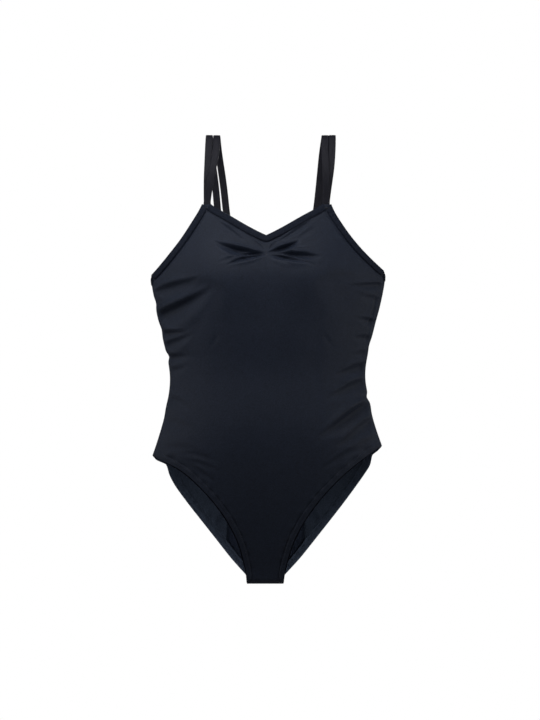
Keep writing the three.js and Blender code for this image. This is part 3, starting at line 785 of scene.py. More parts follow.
def knit_group() -> bpy.types.ShaderNodeTree:
    """Fine jersey: columns of V-shaped loops.

    Returns:
        A group that gives a height from 0 to 1.
    """
    group = node_group("jersey_loops", {"Pitch": 0.0006}, ["Height"])
    wire = Wiring(group)
    inside, out = group.nodes[0], group.nodes[1]
    split = wire.add("ShaderNodeSeparateXYZ", Vector=inside.outputs["Place"])
    column = wire.math("DIVIDE", split.outputs[0], inside.outputs["Pitch"])
    row = wire.math("DIVIDE", split.outputs[1], inside.outputs["Pitch"])
    within = wire.math("ABSOLUTE", wire.math("SUBTRACT", wire.math("FRACT", column), 0.5))
    slant = wire.math("MULTIPLY_ADD", within, 9.0, wire.math("MULTIPLY", row, 2 * math.pi * 0.8))
    loops = wire.math("MULTIPLY_ADD", wire.math("SINE", slant), 0.5, 0.5)
    gully = wire.math("SUBTRACT", 1.0, wire.math("POWER", wire.math("MULTIPLY", within, 2.0), 3.0))
    group.links.new(wire.math("MULTIPLY", loops, gully), out.inputs["Height"])
    return group


def tone_group() -> bpy.types.ShaderNodeTree:
    """Uneven dyeing and wear.

    Returns:
        A group that gives a tone around 1 and a mask of slightly polished places.
    """
    group = node_group("dye_tone", {"Spread": 0.12, "Grain": 0.1}, ["Tone", "Polish"])
    wire = Wiring(group)
    inside, out = group.nodes[0], group.nodes[1]
    place = inside.outputs["Place"]
    cloud = wire.add("ShaderNodeTexNoise", Vector=place, Scale=22.0, Detail=3.0, Roughness=0.55).outputs[0]
    grain = wire.add("ShaderNodeTexNoise", Vector=place, Scale=520.0, Detail=4.0, Roughness=0.7).outputs[0]
    soft = wire.math("MULTIPLY", wire.math("SUBTRACT", cloud, 0.5), inside.outputs["Spread"])
    fine = wire.math("MULTIPLY", wire.math("SUBTRACT", grain, 0.5), inside.outputs["Grain"])
    tone = wire.math("ADD", wire.math("MULTIPLY_ADD", soft, 2.0, 1.0), wire.math("MULTIPLY", fine, 2.0))
    group.links.new(tone, out.inputs["Tone"])
    rubbed = wire.add("ShaderNodeTexNoise", Vector=place, Scale=9.0, Detail=2.0).outputs[0]
    group.links.new(rubbed, out.inputs["Polish"])
    return group


class Weave(Enum):
    """How a finish's surface is made: of knitted loops or of twisted yarn."""

    LOOPS = "loops"
    TWIST = "twist"


@dataclass(frozen=True)
class Finish:
    """One cloth or thread: its colour, gloss, sheen and surface.

    The pitch of the weave and the height of its relief are in millimetres.
    """

    name: str
    colour: tuple[float, float, float]
    roughness: float
    weave: Weave
    pitch: float = 0.6
    relief: float = 0.12
    sheen: float = 0.03
    sheen_tint: tuple[float, float, float] = (0.55, 0.62, 0.8)
    specular: float = 0.14
    spread: float = 0.12
    grain: float = 0.8

    @cached_property
    def material(self) -> bpy.types.Material:
        """The finish as a material.

        Returns:
            The material, built on first use.
        """
        material = bpy.data.materials.new(self.name)
        material.use_nodes = True
        tree = material.node_tree
        tree.nodes.clear()
        wire = Wiring(tree)
        where = wire.add("ShaderNodeTexCoord").outputs["Object"]
        cloth = wire.add("ShaderNodeUVMap", {"uv_map": "cloth"}).outputs["UV"]

        tone = wire.add("ShaderNodeGroup", {"node_tree": GROUPS.tone}, Place=where)
        tone.inputs["Spread"].default_value = self.spread
        tone.inputs["Grain"].default_value = self.grain
        base = wire.add("ShaderNodeVectorMath", {"operation": "SCALE"}, _0=self.colour)
        tree.links.new(tone.outputs["Tone"], base.inputs["Scale"])
        rough = wire.math("MULTIPLY_ADD", tone.outputs["Polish"], -0.16, self.roughness + 0.08)

        bump = wire.add(
            "ShaderNodeBump", Strength=0.6, Distance=self.relief * MM, Height=self.height(wire, cloth, where)
        )
        shader = wire.add(
            "ShaderNodeBsdfPrincipled", Base_Color=base.outputs[0], Roughness=rough, Normal=bump.outputs[0]
        )
        shader.inputs["Specular IOR Level"].default_value = self.specular
        shader.inputs["Sheen Weight"].default_value = self.sheen
        shader.inputs["Sheen Roughness"].default_value = 0.35
        shader.inputs["Sheen Tint"].default_value = (*self.sheen_tint, 1.0)
        out = wire.add("ShaderNodeOutputMaterial", Surface=shader.outputs[0])
        out.is_active_output = True
        return material

    def height(
        self, wire: Wiring, cloth: bpy.types.NodeSocket, where: bpy.types.NodeSocket
    ) -> bpy.types.NodeSocket:
        """The surface's height for the weave, with a little unevenness over it.

        Args:
            wire: Adds to the material's tree.
            cloth: Places on the flat cloth.
            where: Places in space.

        Returns:
            The height, about 0 to 2.
        """
        pitch = self.pitch * MM
        if self.weave is Weave.LOOPS:
            knit = wire.add("ShaderNodeGroup", {"node_tree": GROUPS.knit}, Place=cloth, Pitch=pitch)
            loops = knit.outputs[0]
        else:
            split = wire.add("ShaderNodeSeparateXYZ", Vector=cloth)
            twist = wire.math("ADD", split.outputs[0], wire.math("MULTIPLY", split.outputs[1], 0.6))
            loops = wire.math("SINE", wire.math("MULTIPLY", twist, 2 * math.pi / pitch))
        uneven = wire.add("ShaderNodeTexNoise", Vector=where, Scale=260.0, Detail=3.0).outputs[0]
        return wire.math("MULTIPLY_ADD", uneven, 1.4, loops)


class Groups:
    """The node groups that every finish shares."""

    @cached_property
    def knit(self) -> bpy.types.ShaderNodeTree:
        """The jersey's loops."""
        return knit_group()

    @cached_property
    def tone(self) -> bpy.types.ShaderNodeTree:
        """The dye's unevenness."""
        return tone_group()


GROUPS = Groups()

SHELL = Finish("shell_jersey", (0.0086, 0.0122, 0.0225), 0.56, Weave.LOOPS)
# The jersey's wrong side is duller and lighter than its face, and is made lighter still as painted light for
# the inside seen through the openings.
WRONG_SIDE_PAINTED_LIGHT = Finish("jersey_wrong_side_painted_light", (0.0540, 0.0720, 0.1100), 0.8, Weave.LOOPS, sheen=0.0)
# Near-black finish on the hem's roll: a painted shade for the shadow along the front leg edges.
HEM_FOLD_PAINTED_SHADE = Finish("hem_fold_painted_shade", (0.0020, 0.0026, 0.0050), 0.9, Weave.LOOPS, sheen=0.0, specular=0.03)
BINDING = Finish("binding_jersey", (0.0066, 0.0090, 0.0165), 0.66, Weave.LOOPS, pitch=0.55, specular=0.07)
STRAP = Finish("strap_jersey", (0.0068, 0.0068, 0.0112), 0.6, Weave.LOOPS, sheen_tint=(0.62, 0.6, 0.72))
LINING = Finish("power_net", (0.0250, 0.0340, 0.0600), 0.8, Weave.LOOPS, pitch=1.1, relief=0.2)
ELASTIC = Finish("braided_elastic", (0.0090, 0.0090, 0.0100), 0.8, Weave.TWIST, pitch=0.9, relief=0.2)
THREAD = Finish("polyester_thread", (0.0140, 0.0150, 0.0190), 0.45, Weave.TWIST, pitch=0.4, relief=0.05)
LABEL = Finish("label_satin", (0.0200, 0.0210, 0.0240), 0.35, Weave.LOOPS, pitch=0.3, relief=0.04)


# ------------------------------------------------------------------------------------------- stitches


@dataclass(frozen=True)
class Stitching:
    """Rows of straight stitches of thread, lying in the cloth, in millimetres."""

    length: float = 2.3
    pitch: float = 2.9
    radius: float = 0.2

    @cached_property
    def stitch(self) -> bpy.types.Mesh:
        """One stitch along X.

        Returns:
            Its mesh, in metres.
        """
        mesh = bmesh.new()
        size = Matrix.Diagonal((self.length / 2 * MM, self.radius * MM, self.radius * MM, 1))
        bmesh.ops.create_uvsphere(mesh, u_segments=6, v_segments=4, radius=1, matrix=size, calc_uvs=True)
        data = bpy.data.meshes.new("one_stitch")
        mesh.to_mesh(data)
        mesh.free()
        return data

    def sew(self, mesh: bmesh.types.BMesh, line: Array) -> None:
        """Adds one stitch per pitch along a line of points.

        Args:
            mesh: The mesh that the stitches go into.
            line: Points along the seam, in millimetres, before the garment settles.
        """
        line = FORM.settle(line)
        total = np.linalg.norm(np.diff(line, axis=0), axis=1).sum()
        ends = evenly(line, max(1, int(total / self.pitch)))
        for a, b in zip(ends[:-1], ends[1:]):
            turn = Vector(b - a).to_track_quat("X", "Z").to_matrix().to_4x4()
            place = Matrix.Translation(Vector((a + b) / 2) * MM) @ turn
            self.stitch.transform(place)
            mesh.from_mesh(self.stitch)
            self.stitch.transform(place.inverted())


def stitched(name: str, lines: Sequence[Array], stitching: Stitching = Stitching()) -> bpy.types.Object:
    """Sews stitches along several lines into one piece.

    Args:
        name: The piece's name.
        lines: Lines of points in millimetres, before the garment settles.
        stitching: The stitches' sizes.

    Returns:
        The new object.
    """
    mesh = bmesh.new()
    mesh.loops.layers.uv.new("cloth")
    for line in lines:
        stitching.sew(mesh, line)
    return finished(name, mesh, THREAD)


# ------------------------------------------------------------------------------------------- panels


@dataclass
class Panel:
    """The front or the back of the body, in one piece of jersey."""

    side: Side
    top_from: float
    thickness: float = 0.6
    neck_columns: int = 50
    peak_columns: int = 3
    arm_columns: int = 34
    fold_rows: int = 8
    leg_rows: int = 66
    body_rows: int = 62
    top_rows: int = 100

    @cached_property
    def across(self) -> Array:
        """The columns' places along the top edge.

        Returns:
            Distances from the middle, from the right underarm to the left.
        """
        inner = np.linspace(0, FORM.peak_inner, self.neck_columns + 1)
        peak = np.linspace(FORM.peak_inner, FORM.peak_outer, self.peak_columns + 1)[1:]
        arm = np.linspace(FORM.peak_outer, FORM.underarm[0], self.arm_columns + 1)[1:]
        left = np.concatenate([inner, peak, arm])
        return np.concatenate([-left[:0:-1], left])

    def rows(self) -> tuple[Array, Array]:
        """Every place of the panel, row by row from the crotch up.

        Returns:
            x and height, one row of each a row of the panel.
        """
        leg = FORM.leg_edges[self.side][::-1]
        low = np.linspace(FORM.fold_end, FORM.fold_top, self.fold_rows + 1)
        legs = evenly(leg, self.leg_rows)[1:-1]
        body = np.linspace(FORM.hip[1], self.top_from, self.body_rows + 1)
        share = (self.across / FORM.underarm[0])[None, :]
        heights = np.concatenate([low, legs[:, 1], body])[:, None]
        halves = np.concatenate([np.full(len(low), FORM.crotch_half_width), legs[:, 0], FORM.side_seam(body)])
        x_low, h_low = share * halves[:, None], np.broadcast_to(heights, (len(heights), len(self.across)))
        shares = np.interp(np.linspace(0, 1, self.top_rows + 1)[1:], (0, 0.26, 1), (0, 0.46, 1))
        x_top, h_top = top_part(self.side, self.across, self.top_from, shares)
        return np.concatenate([x_low, x_top]), np.concatenate([h_low, h_top])

    def build(self) -> bpy.types.Object:
        """Makes the panel and gives it its thickness, with the jersey's duller wrong side inside, made
        lighter as painted light.

        Returns:
            The panel.
        """
        xs, heights = self.rows()

        def place(u: Array, v: Array) -> Array:
            """Points of the panel's outer face."""
            at = v.astype(int), u.astype(int)
            return FORM.on_cloth(self.side, xs[at], heights[at])

        name = f"{self.side.name.lower()}_jersey"
        mesh = laid(xs.shape[1] - 1, xs.shape[0] - 1, place, (364, 620))
        piece = finished(name, mesh, SHELL)
        piece.data.materials.append(WRONG_SIDE_PAINTED_LIGHT.material)
        facing_out(piece, self.side)
        thicken(piece, self.thickness)
        # The inside faces take the wrong side's finish, lightened as painted light.
        piece.modifiers[0].material_offset = 1
        return piece


def top_part(side: Side, across: Array, start: float, shares: Array) -> tuple[Array, Array]:
    """Places between a level row and the shaped top edge.

    Args:
        side: Which face of the garment.
        across: Places along the top edge.
        start: The level row's height.
        shares: How far up each row lies.

    Returns:
        x and height, one row a share.
    """
    shares = shares[:, None]
    edge = start + shares * (FORM.underarm[1] - start)
    x = across[None, :] / FORM.underarm[0] * FORM.side_seam(edge)
    height = start + shares * (FORM.top(side, across)[None, :] - start)
    return x, height


@dataclass
class ShelfBra:
    """The hidden second layer over the bust with the elastic along its lower edge."""

    outer: float = -1.05
    thickness: float = 0.5
    band: float = 14.0
    columns: int = 150
    rows: int = 90

    def build(self) -> list[bpy.types.Object]:
        """Makes the lining and its elastic.

        Returns:
            The lining and the elastic.
        """
        across = np.linspace(-0.975, 0.975, self.columns + 1) * FORM.underarm[0]
        xs, heights = top_part(Side.FRONT, across, FORM.underbust, np.linspace(0, 0.97, self.rows + 1))

        def place(u: Array, v: Array) -> Array:
            """Points of the lining's outer face."""
            at = v.astype(int), u.astype(int)
            return FORM.on_cloth(Side.FRONT, xs[at], heights[at], self.outer)

        lining = finished("bra_power_net", laid(self.columns, self.rows, place, (350, 140)), LINING)

        def band(u: Array, v: Array) -> Array:
            """Points of the elastic's outer face, inside the lining."""
            x, height = xs[0][u.astype(int)] * 0.97, FORM.underbust + v / 2 * self.band
            return FORM.on_cloth(Side.FRONT, x, height, self.outer - self.thickness - 0.4)

        elastic = finished("underbust_band", laid(self.columns, 2, band, (320, self.band)), ELASTIC)
        for piece, wall in ((lining, self.thickness), (elastic, 0.8)):
            facing_out(piece, Side.FRONT)
            thicken(piece, wall)
        return [lining, elastic]


@dataclass
class Gusset:
    """The lining in the crotch, one piece folded round from front to back."""

    half_width: float = 60.0
    inset: float = 12.5
    outer: float = -1.05
    thickness: float = 0.5
    rows: int = 44
    columns: int = 36

    def build(self) -> list[bpy.types.Object]:
        """Makes the lining and the overlocked seam across it.

        Returns:
            The lining and the seam.
        """
        top = FORM.leg_height(1 - 5 / 11)
        reach = top - FORM.fold_end
        edges = {side: FORM.leg_edges[side][::-1] for side in Side}

        def place(u: Array, v: Array) -> Array:
            """Points of the lining's outer face, front and back in one run.

            Args:
                u: Column numbers.
                v: Row numbers.

            Returns:
                Points in millimetres, one a row.
            """
            down = (v / self.rows * 2 - 1) * reach
            height = FORM.fold_end + np.abs(down)
            halves = {s: np.interp(height, e[:, 1], e[:, 0]) for s, e in edges.items()}
            half = np.where(down < 0, halves[Side.FRONT], halves[Side.BACK]) - self.inset
            x = (u / self.columns * 2 - 1) * np.minimum(self.half_width, half)
            front = FORM.on_cloth(Side.FRONT, x, height, self.outer)
            back = FORM.on_cloth(Side.BACK, x, height, self.outer)
            return np.where((down < 0)[:, None], front, back)

        lining = finished("crotch_lining", laid(self.columns, self.rows, place, (96, 210)), LINING)
        if self.faces_in(lining):
            lining.data.flip_normals()
        thicken(lining, self.thickness)

        half = FORM.crotch_half_width - self.inset - 1

        def ridge(u: Array, v: Array) -> Array:
            """Points of a thin wavy tube along the fold.

            Args:
                u: Column numbers.
                v: Row numbers.

            Returns:
                Points in millimetres, one a row.
            """
            turn = v / 8 * 2 * np.pi
            x = (u / 24 * 2 - 1) * half
            up = FORM.crotch_bottom + 2.9 + 0.5 * np.sin(turn) + 0.12 * np.sin(u * 2.4)
            return np.stack([x, 1.9 * np.cos(turn) + 0.3 * np.sin(u * 1.7), up], axis=-1)

        seam = finished("crotch_seam_overlock", closed_ends(laid(24, 8, ridge, (40, 8), weld=True)), THREAD)
        return [lining, seam]

    def faces_in(self, piece: bpy.types.Object) -> bool:
        """Whether the sheet's faces look into the garment.

        Args:
            piece: The folded sheet.

        Returns:
            True if its lowest faces look up.
        """
        middle = FORM.crotch_bottom * MM
        return sum(f.normal.z * f.area for f in piece.data.polygons if f.center.z < middle + 0.006) > 0


def closed_ends(mesh: bmesh.types.BMesh) -> bmesh.types.BMesh:
    """Fills the open ends of a tube and turns its faces out.

    Args:
        mesh: The tube.

    Returns:
        The same mesh.
    """
    bmesh.ops.holes_fill(mesh, edges=[e for e in mesh.edges if e.is_boundary], sides=0)
    bmesh.ops.recalc_face_normals(mesh, faces=mesh.faces)
    return mesh


# ------------------------------------------------------------------------------------------- edges


@dataclass
class Edge:
    """A run of the garment's edge on one face, as (x, height), one place a row.

    The turn is 1 where the cloth lies to the left of the run and -1 where it lies to the right.
    """

    side: Side
    places: Array
    turn: float

    @cached_property
    def inward(self) -> Array:
        """The ways into the cloth at right angles to the edge.

        Returns:
            Unit vectors (x, height), one a row.
        """
        along = np.gradient(self.places, axis=0)
        along /= np.linalg.norm(along, axis=1, keepdims=True)
        return np.stack([-self.turn * along[:, 1], self.turn * along[:, 0]], axis=1)

    def at(self, station: Array, depth: Array, lift: Array) -> Array:
        """Points beside the edge.

        Args:
            station: Numbers of the edge's places.
            depth: Distance in from the edge.
            lift: Distance outside the cloth, negative inside.

        Returns:
            One point a row.
        """
        n = np.asarray(station).astype(int)
        place = self.places[n] + np.expand_dims(np.broadcast_to(depth, n.shape), -1) * self.inward[n]
        return FORM.on_cloth(self.side, place[..., 0], place[..., 1], lift)

    def line(self, depth: float, lift: float, margin: int = 0) -> Array:
        """A line of points along the edge.

        Args:
            depth: Distance in from the edge.
            lift: Distance outside the cloth, negative inside.
            margin: How many places are left out at each end.

        Returns:
            One point a row.
        """
        n = np.arange(margin, len(self.places) - margin)
        return self.at(n, np.full(len(n), depth), np.full(len(n), lift))


class Mitre(Enum):
    """Which side of the peaks a binding keeps where it is mitred."""

    NONE = 0
    INNER = -1
    OUTER = 1


@dataclass
class Bound:
    """A bound edge: a folded strip of jersey over elastic, held by two rows of stitches.

    The fold stands past the edge by turn, and its outer side swells over the elastic. The stack is the
    thickness of the layers inside the fold, and the gap is the space left beside them.
    """

    name: str
    edge: Edge
    stack: float
    depth: float = 9.0
    turn: float = 1.5
    cloth: float = 0.6
    gap: float = 0.45
    swell: float = 0.8
    elastic_width: float = 7.0
    mitre: Mitre = Mitre.NONE
    mitre_gap: float = 0.3

    @property
    def profile(self) -> Array:
        """The section through the middle of the folded strip.

        Returns:
            (depth, lift) from the strip's outer edge round to its inner edge, one a row.
        """
        out, within = self.gap + self.cloth / 2, -(self.stack + self.gap + self.cloth / 2)
        middle, radius = (out + within) / 2, (out - within) / 2
        bulge = self.turn - self.cloth / 2
        bend = [
            (-bulge * math.sin(a) + 0.6 * (1 - math.sin(a)), middle + radius * math.cos(a))
            for a in np.linspace(0.25, math.pi - 0.25, 9)
        ]
        outer = [
            (d, out + self.swell * math.sin(math.pi * d / self.depth))
            for d in np.linspace(self.depth, 1.5, 9)
        ]
        outer[0] = (self.depth, out - self.gap)
        inner = [(d, within) for d in np.linspace(1.5, self.depth - 1, 6)]
        return np.array([*outer, *bend, *inner])

    def build(self) -> list[bpy.types.Object]:
        """Makes the binding, its elastic and its stitches.

        Returns:
            The strip, the elastic and the stitches.
        """
        profile, stations = self.profile, len(self.edge.places) - 1
        stitch_rows = (self.depth - 1.6, self.depth - 4.4)

        def fold(u: Array, v: Array) -> Array:
            """Points of the folded strip, with small gathers and sewn-in troughs.

            Args:
                u: Column numbers.
                v: Row numbers.

            Returns:
                Points in millimetres, one a row.
            """
            section = profile[v.astype(int)]
            gathers = 0.22 * np.sin(u * 1.13 + 2 * np.sin(u / 9)) * (section[:, 1] > 0)
            sewn = sum(np.exp(-(((section[:, 0] - row) / 0.7) ** 2)) for row in stitch_rows)
            lift = section[:, 1] + gathers - 0.22 * sewn * (section[:, 1] > 0)
            return self.edge.at(u, section[:, 0], lift)

        def band(u: Array, v: Array) -> Array:
            """Points of the elastic in the fold."""
            return self.edge.at(u, 0.4 + v / 2 * self.elastic_width, np.full(u.shape, 0.75 - self.stack))

        length = float(np.linalg.norm(np.diff(self.edge.places, axis=0), axis=1).sum())
        sections = laid(stations, len(profile) - 1, fold, (length, 24))
        core = laid(stations, 2, band, (length, self.elastic_width))
        if self.mitre is not Mitre.NONE:
            self.cut_mitre(sections)
        pieces = []
        for name, mesh, finish, wall, offset in (
            ("strip", sections, BINDING, self.cloth, 0.0),
            ("elastic_band", core, ELASTIC, 0.7, -1.0),
        ):
            piece = finished(f"{self.name}_{name}", mesh, finish)
            if name == "elastic_band":
                facing_out(piece, self.edge.side)
            thicken(piece, wall, offset)
            pieces.append(piece)
        top = [self.edge.line(row, self.gap + self.cloth + 0.12, margin=2) for row in stitch_rows]
        below = -(self.stack + 2 * self.gap + self.cloth)
        looper = [self.edge.line(row, below, margin=3) for row in stitch_rows]
        pieces.append(stitched(f"{self.name}_stitches", [*top, *looper]))
        return pieces

    def cut_mitre(self, mesh: bmesh.types.BMesh) -> None:
        """Cuts the binding off at the middle of each peak that it reaches.

        Args:
            mesh: The binding's strip, in metres.
        """
        leaning = float(FORM.lean(FORM.peak_height))
        for sign in (1, -1):
            if self.mitre is Mitre.OUTER and sign * self.edge.places[-1, 0] < 0:
                continue
            keep = sign * self.mitre.value
            cut_at = Vector(((sign * FORM.peak_centre + leaning + keep * self.mitre_gap) * MM, 0, 0))
            bmesh.ops.bisect_plane(
                mesh,
                geom=[*mesh.verts, *mesh.edges, *mesh.faces],
                plane_co=cut_at,
                plane_no=(-keep, 0, 0),
                clear_outer=True,
            )


@dataclass
class LegOpening:
    """One leg opening: elastic in a turned hem that runs from the front round the crotch to the back."""

    left: bool
    per_side: int = 150
    fold_stations: int = 11
    elastic_width: float = 8.0
    taper: float = 22.0
    cloth_length: float = 640.0

    @property
    def stations(self) -> int:
        """How many places there are round the whole opening."""
        return 2 * (self.per_side + self.fold_stations + 1)

    def edges(self) -> dict[Side, Edge]:
        """The two edges from the crotch fold up to the side seam.

        Returns:
            An edge for each face of the garment.
        """
        sign = 1.0 if self.left else -1.0
        result = {}
        for side in Side:
            leg = evenly(FORM.leg_edges[side], self.per_side, 0.02, 1)[::-1]
            fold = np.linspace(FORM.fold_end, FORM.fold_top, self.fold_stations + 1)[:-1]
            places = np.concatenate([np.stack([np.full_like(fold, FORM.crotch_half_width), fold], 1), leg])
            places[:, 0] *= sign
            result[side] = Edge(side, places, sign)
        return result

    def loop(self, depth: Array, lift: Array, u: Array) -> Array:
        """Points on the closed loop of the hem.

        Args:
            depth: Distance in from the edge.
            lift: Distance outside the cloth, negative inside.
            u: Numbers of the places round the opening.

        Returns:
            One point a row.
        """
        edges, count = self.edges(), self.stations // 2
        n = u.astype(int) % self.stations
        on_front = n < count
        front = edges[Side.FRONT].at(np.minimum(n, count - 1), depth, lift)
        back = edges[Side.BACK].at(np.clip(2 * count - 1 - n, 0, count - 1), depth, lift)
        return np.where(on_front[:, None], front, back)

    def build(self) -> list[bpy.types.Object]:
        """Makes the turned hem, its elastic and its stitches.

        The hem's fold is in shadow and gets a darker finish, a painted shade; the turned-in part and the part
        on the back show the wrong side, lightened as painted light.

        Returns:
            The hem, the elastic and the stitches.
        """
        name = "left" if self.left else "right"
        upper = [(1.2, -0.45), (0.2, -0.6), (-1.2, -1.1), (-2.1, -1.9)]
        lower = [(-1.7, -2.6), (-0.5, -2.9), (0.9, -2.9)]
        inner = [(d, -2.8) for d in (2.4, 4.2, 6.0, 7.6, FORM.hem_depth)]
        profile = np.array(upper + lower + inner)
        half, sections = self.stations / 2, len(profile) - 1

        def turned(u: Array, v: Array) -> Array:
            """Points of the turned hem, whose roll tapers off at the hip and towards the crotch.

            Args:
                u: Column numbers.
                v: Row numbers.

            Returns:
                Points in millimetres, one a row.
            """
            depth, lift = profile[v.astype(int)].T
            ripple = 0.12 * np.sin(u * 0.9 + 1.3 * np.sin(u / 7)) * (depth > 2)
            from_hip = np.abs(u % self.stations - half + 0.5)
            near_crotch = smooth_step(half, half - 30, from_hip)
            full = smooth_step(0, self.taper, from_hip) * (0.3 + 0.7 * near_crotch)
            return self.loop(np.where(depth < 0, depth * full, depth), lift + ripple, u)

        def band(u: Array, v: Array) -> Array:
            """Points of the elastic inside the hem."""
            return self.loop(0.4 + v / 2 * self.elastic_width, np.full(u.shape, -1.2), u)

        hem_mesh = laid(self.stations, sections, turned, (self.cloth_length, 14), weld=True)
        hem = finished(f"{name}_leg_hem", hem_mesh, HEM_FOLD_PAINTED_SHADE)
        core_mesh = laid(self.stations, 2, band, (self.cloth_length, self.elastic_width), weld=True)
        core = finished(f"{name}_leg_elastic_band", core_mesh, ELASTIC)
        hem.data.materials.append(WRONG_SIDE_PAINTED_LIGHT.material)
        across = hem.data.uv_layers["cloth"].data
        roll_end = 5.5 / sections * 14 * MM
        for face in hem.data.polygons:
            turned_in = min(across[loop].uv[1] for loop in face.loop_indices) > roll_end
            # Faces on the back and turned-in faces take the wrong side's finish, lightened as painted light.
            face.material_index = int(face.center.y > 0 or turned_in)
        thicken(hem, 0.4, 0.0)
        thicken(core, 0.7, -1.0)
        lines = []
        for edge in self.edges().values():
            lines += [edge.line(depth, lift, margin=4) for depth in (8.2, 5.6) for lift in (0.1, -2.95)]
        return [hem, core, stitched(f"{name}_leg_stitches", lines)]


# ------------------------------------------------------------------------------------------- straps


@dataclass
class Strap:
    """One of a pair of straps: a flat tube of jersey over elastic, sewn in at front and back.

    The pitches are the distances between a pair's middles; front_under and back_under are how far a
    strap's outer face lies inside the cloth where it is sewn in.
    """

    left: bool
    outer: bool
    width: float = 11.0
    thickness: float = 2.4
    tuck: float = 12.0
    top_centre: float = 90.2
    pitch: float = 11.7
    back_centre: float = 58.3
    back_pitch: float = 16.5
    front_under: float = 3.85
    back_under: float = 4.29
    flat: float = 16.0
    swing: float = 7.7
    stations: int = 120

    @property
    def name(self) -> str:
        """The strap's name, such as left_inner_strap."""
        return f"{'left' if self.left else 'right'}_{'outer' if self.outer else 'inner'}_strap"

    def line(self) -> tuple[Array, Array]:
        """The underside's line and the way across it, on the wearer's left.

        Returns:
            Points, and vectors across the strap, one a row.
        """
        side = 1 if self.outer else -1
        top_x = self.top_centre + side * self.pitch / 2
        back_x = self.back_centre + side * self.back_pitch / 2
        back_z = float(FORM.top(Side.BACK, np.array(back_x)))
        layer = self.thickness + 0.63 if self.outer else 0.0
        front_lift = -self.front_under - self.thickness - layer
        back_lift = -self.back_under - self.thickness

        def peak(rise: float) -> Array:
            """A point at a height above the front peak."""
            return FORM.on_cloth(Side.FRONT, FORM.peak_centre, FORM.peak_height + rise, front_lift)

        def edge(rise: float) -> Array:
            """A point at a height above the back edge."""
            return FORM.on_cloth(Side.BACK, back_x, back_z + rise, back_lift)

        rising = [
            (FORM.peak_centre + fan * (top_x - FORM.peak_centre), layer - depth, FORM.peak_height * left_over)
            for left_over, fan, depth in ((0.58, 0.58, 30), (0.24, 1, 23))
        ]
        falling = [
            (top_x + share * (back_x - top_x), depth, back_z * share)
            for share, depth in ((0.085, 22), (0.21, 30), (0.45, 34), (0.72, 33))
        ]
        points = [peak(-self.tuck), peak(0), *rising, (top_x, -self.flat / 2, 0), (top_x, self.flat / 2, 0)]
        points += [*falling, edge(1), edge(-self.tuck)]
        line = evenly(spline(np.array(points, float)), self.stations)
        share = np.linspace(0, 1, len(line))
        lie = np.tile([1.0, 0.0, 0.0], (len(line), 1))
        lie[:, 1] = 0.17 * smooth_step(0.2, 0.0, share) - 0.12 * smooth_step(0.8, 1.0, share)
        return line, lie

    def frames(self) -> tuple[Array, Array, Array]:
        """The strap's line with its directions, on its own side of the garment.

        Returns:
            Points, unit vectors across the strap and unit vectors out of it, one a row.
        """
        line, lie = self.line()
        if not self.left:
            line, lie = line * (-1, 1, 1), lie * (1, -1, 1)
        hanging = np.clip((line[:, 1] - 10) / 25, 0, 1) * smooth_step(-290, -180, line[:, 2])
        line[:, 0] += self.swing * hanging * smooth_step(0, -110, line[:, 2])
        along = np.gradient(line, axis=0)
        along /= np.linalg.norm(along, axis=1, keepdims=True)
        across = lie - along * (along * lie).sum(axis=1, keepdims=True)
        across /= np.linalg.norm(across, axis=1, keepdims=True)
        return line, across, np.cross(across, along)

    def band(self, half: float, low: float, high: float, sides: int) -> Place:
        """A flat tube with rounded edges on the strap's line.

        Args:
            half: Half its width.
            low: How far its underside lies above the line.
            high: How far its upper side lies above the line.
            sides: How many columns go round it.

        Returns:
            A function that gives the tube's points.
        """
        line, across, out = self.frames()
        turn = np.linspace(0, 2 * np.pi, sides + 1)
        reach = np.sign(np.cos(turn)) * np.abs(np.cos(turn)) ** 0.35 * half
        rise = (low + high) / 2 + np.sign(np.sin(turn)) * np.abs(np.sin(turn)) ** 0.6 * (high - low) / 2

        def place(u: Array, v: Array) -> Array:
            """Points of the tube, with a slight ripple in the casing.

            Args:
                u: Column numbers.
                v: Row numbers.

            Returns:
                Points in millimetres, one a row.
            """
            n, k = v.astype(int), u.astype(int)
            soft = 0.1 * np.sin(n * 0.7 + 3 * self.outer) * (high - low > 1.5)
            return line[n] + across[n] * reach[k][:, None] + out[n] * (rise[k] + soft)[:, None]

        return place

    def build(self) -> list[bpy.types.Object]:
        """Makes the casing, the elastic in it and its two rows of topstitching.

        Returns:
            The casing, the elastic and the stitches.
        """
        tube = self.band(self.width / 2, 0.0, self.thickness, 24)
        inner = self.band(self.width / 2 - 1, 0.95, 1.65, 8)
        casing = laid(24, self.stations, tube, (26, 420), weld=True)
        core = laid(8, self.stations, inner, (18, 420), weld=True)
        strap = finished(f"{self.name}_casing", closed_ends(casing), STRAP)
        elastic = finished(f"{self.name}_core", closed_ends(core), ELASTIC)
        line, across, out = self.frames()
        inset = self.width / 2 - 1.5
        rows = [(line + across * s * inset + out * (self.thickness - 0.05))[8:-8] for s in (-1, 1)]
        return [strap, elastic, stitched(f"{self.name}_topstitch", rows)]


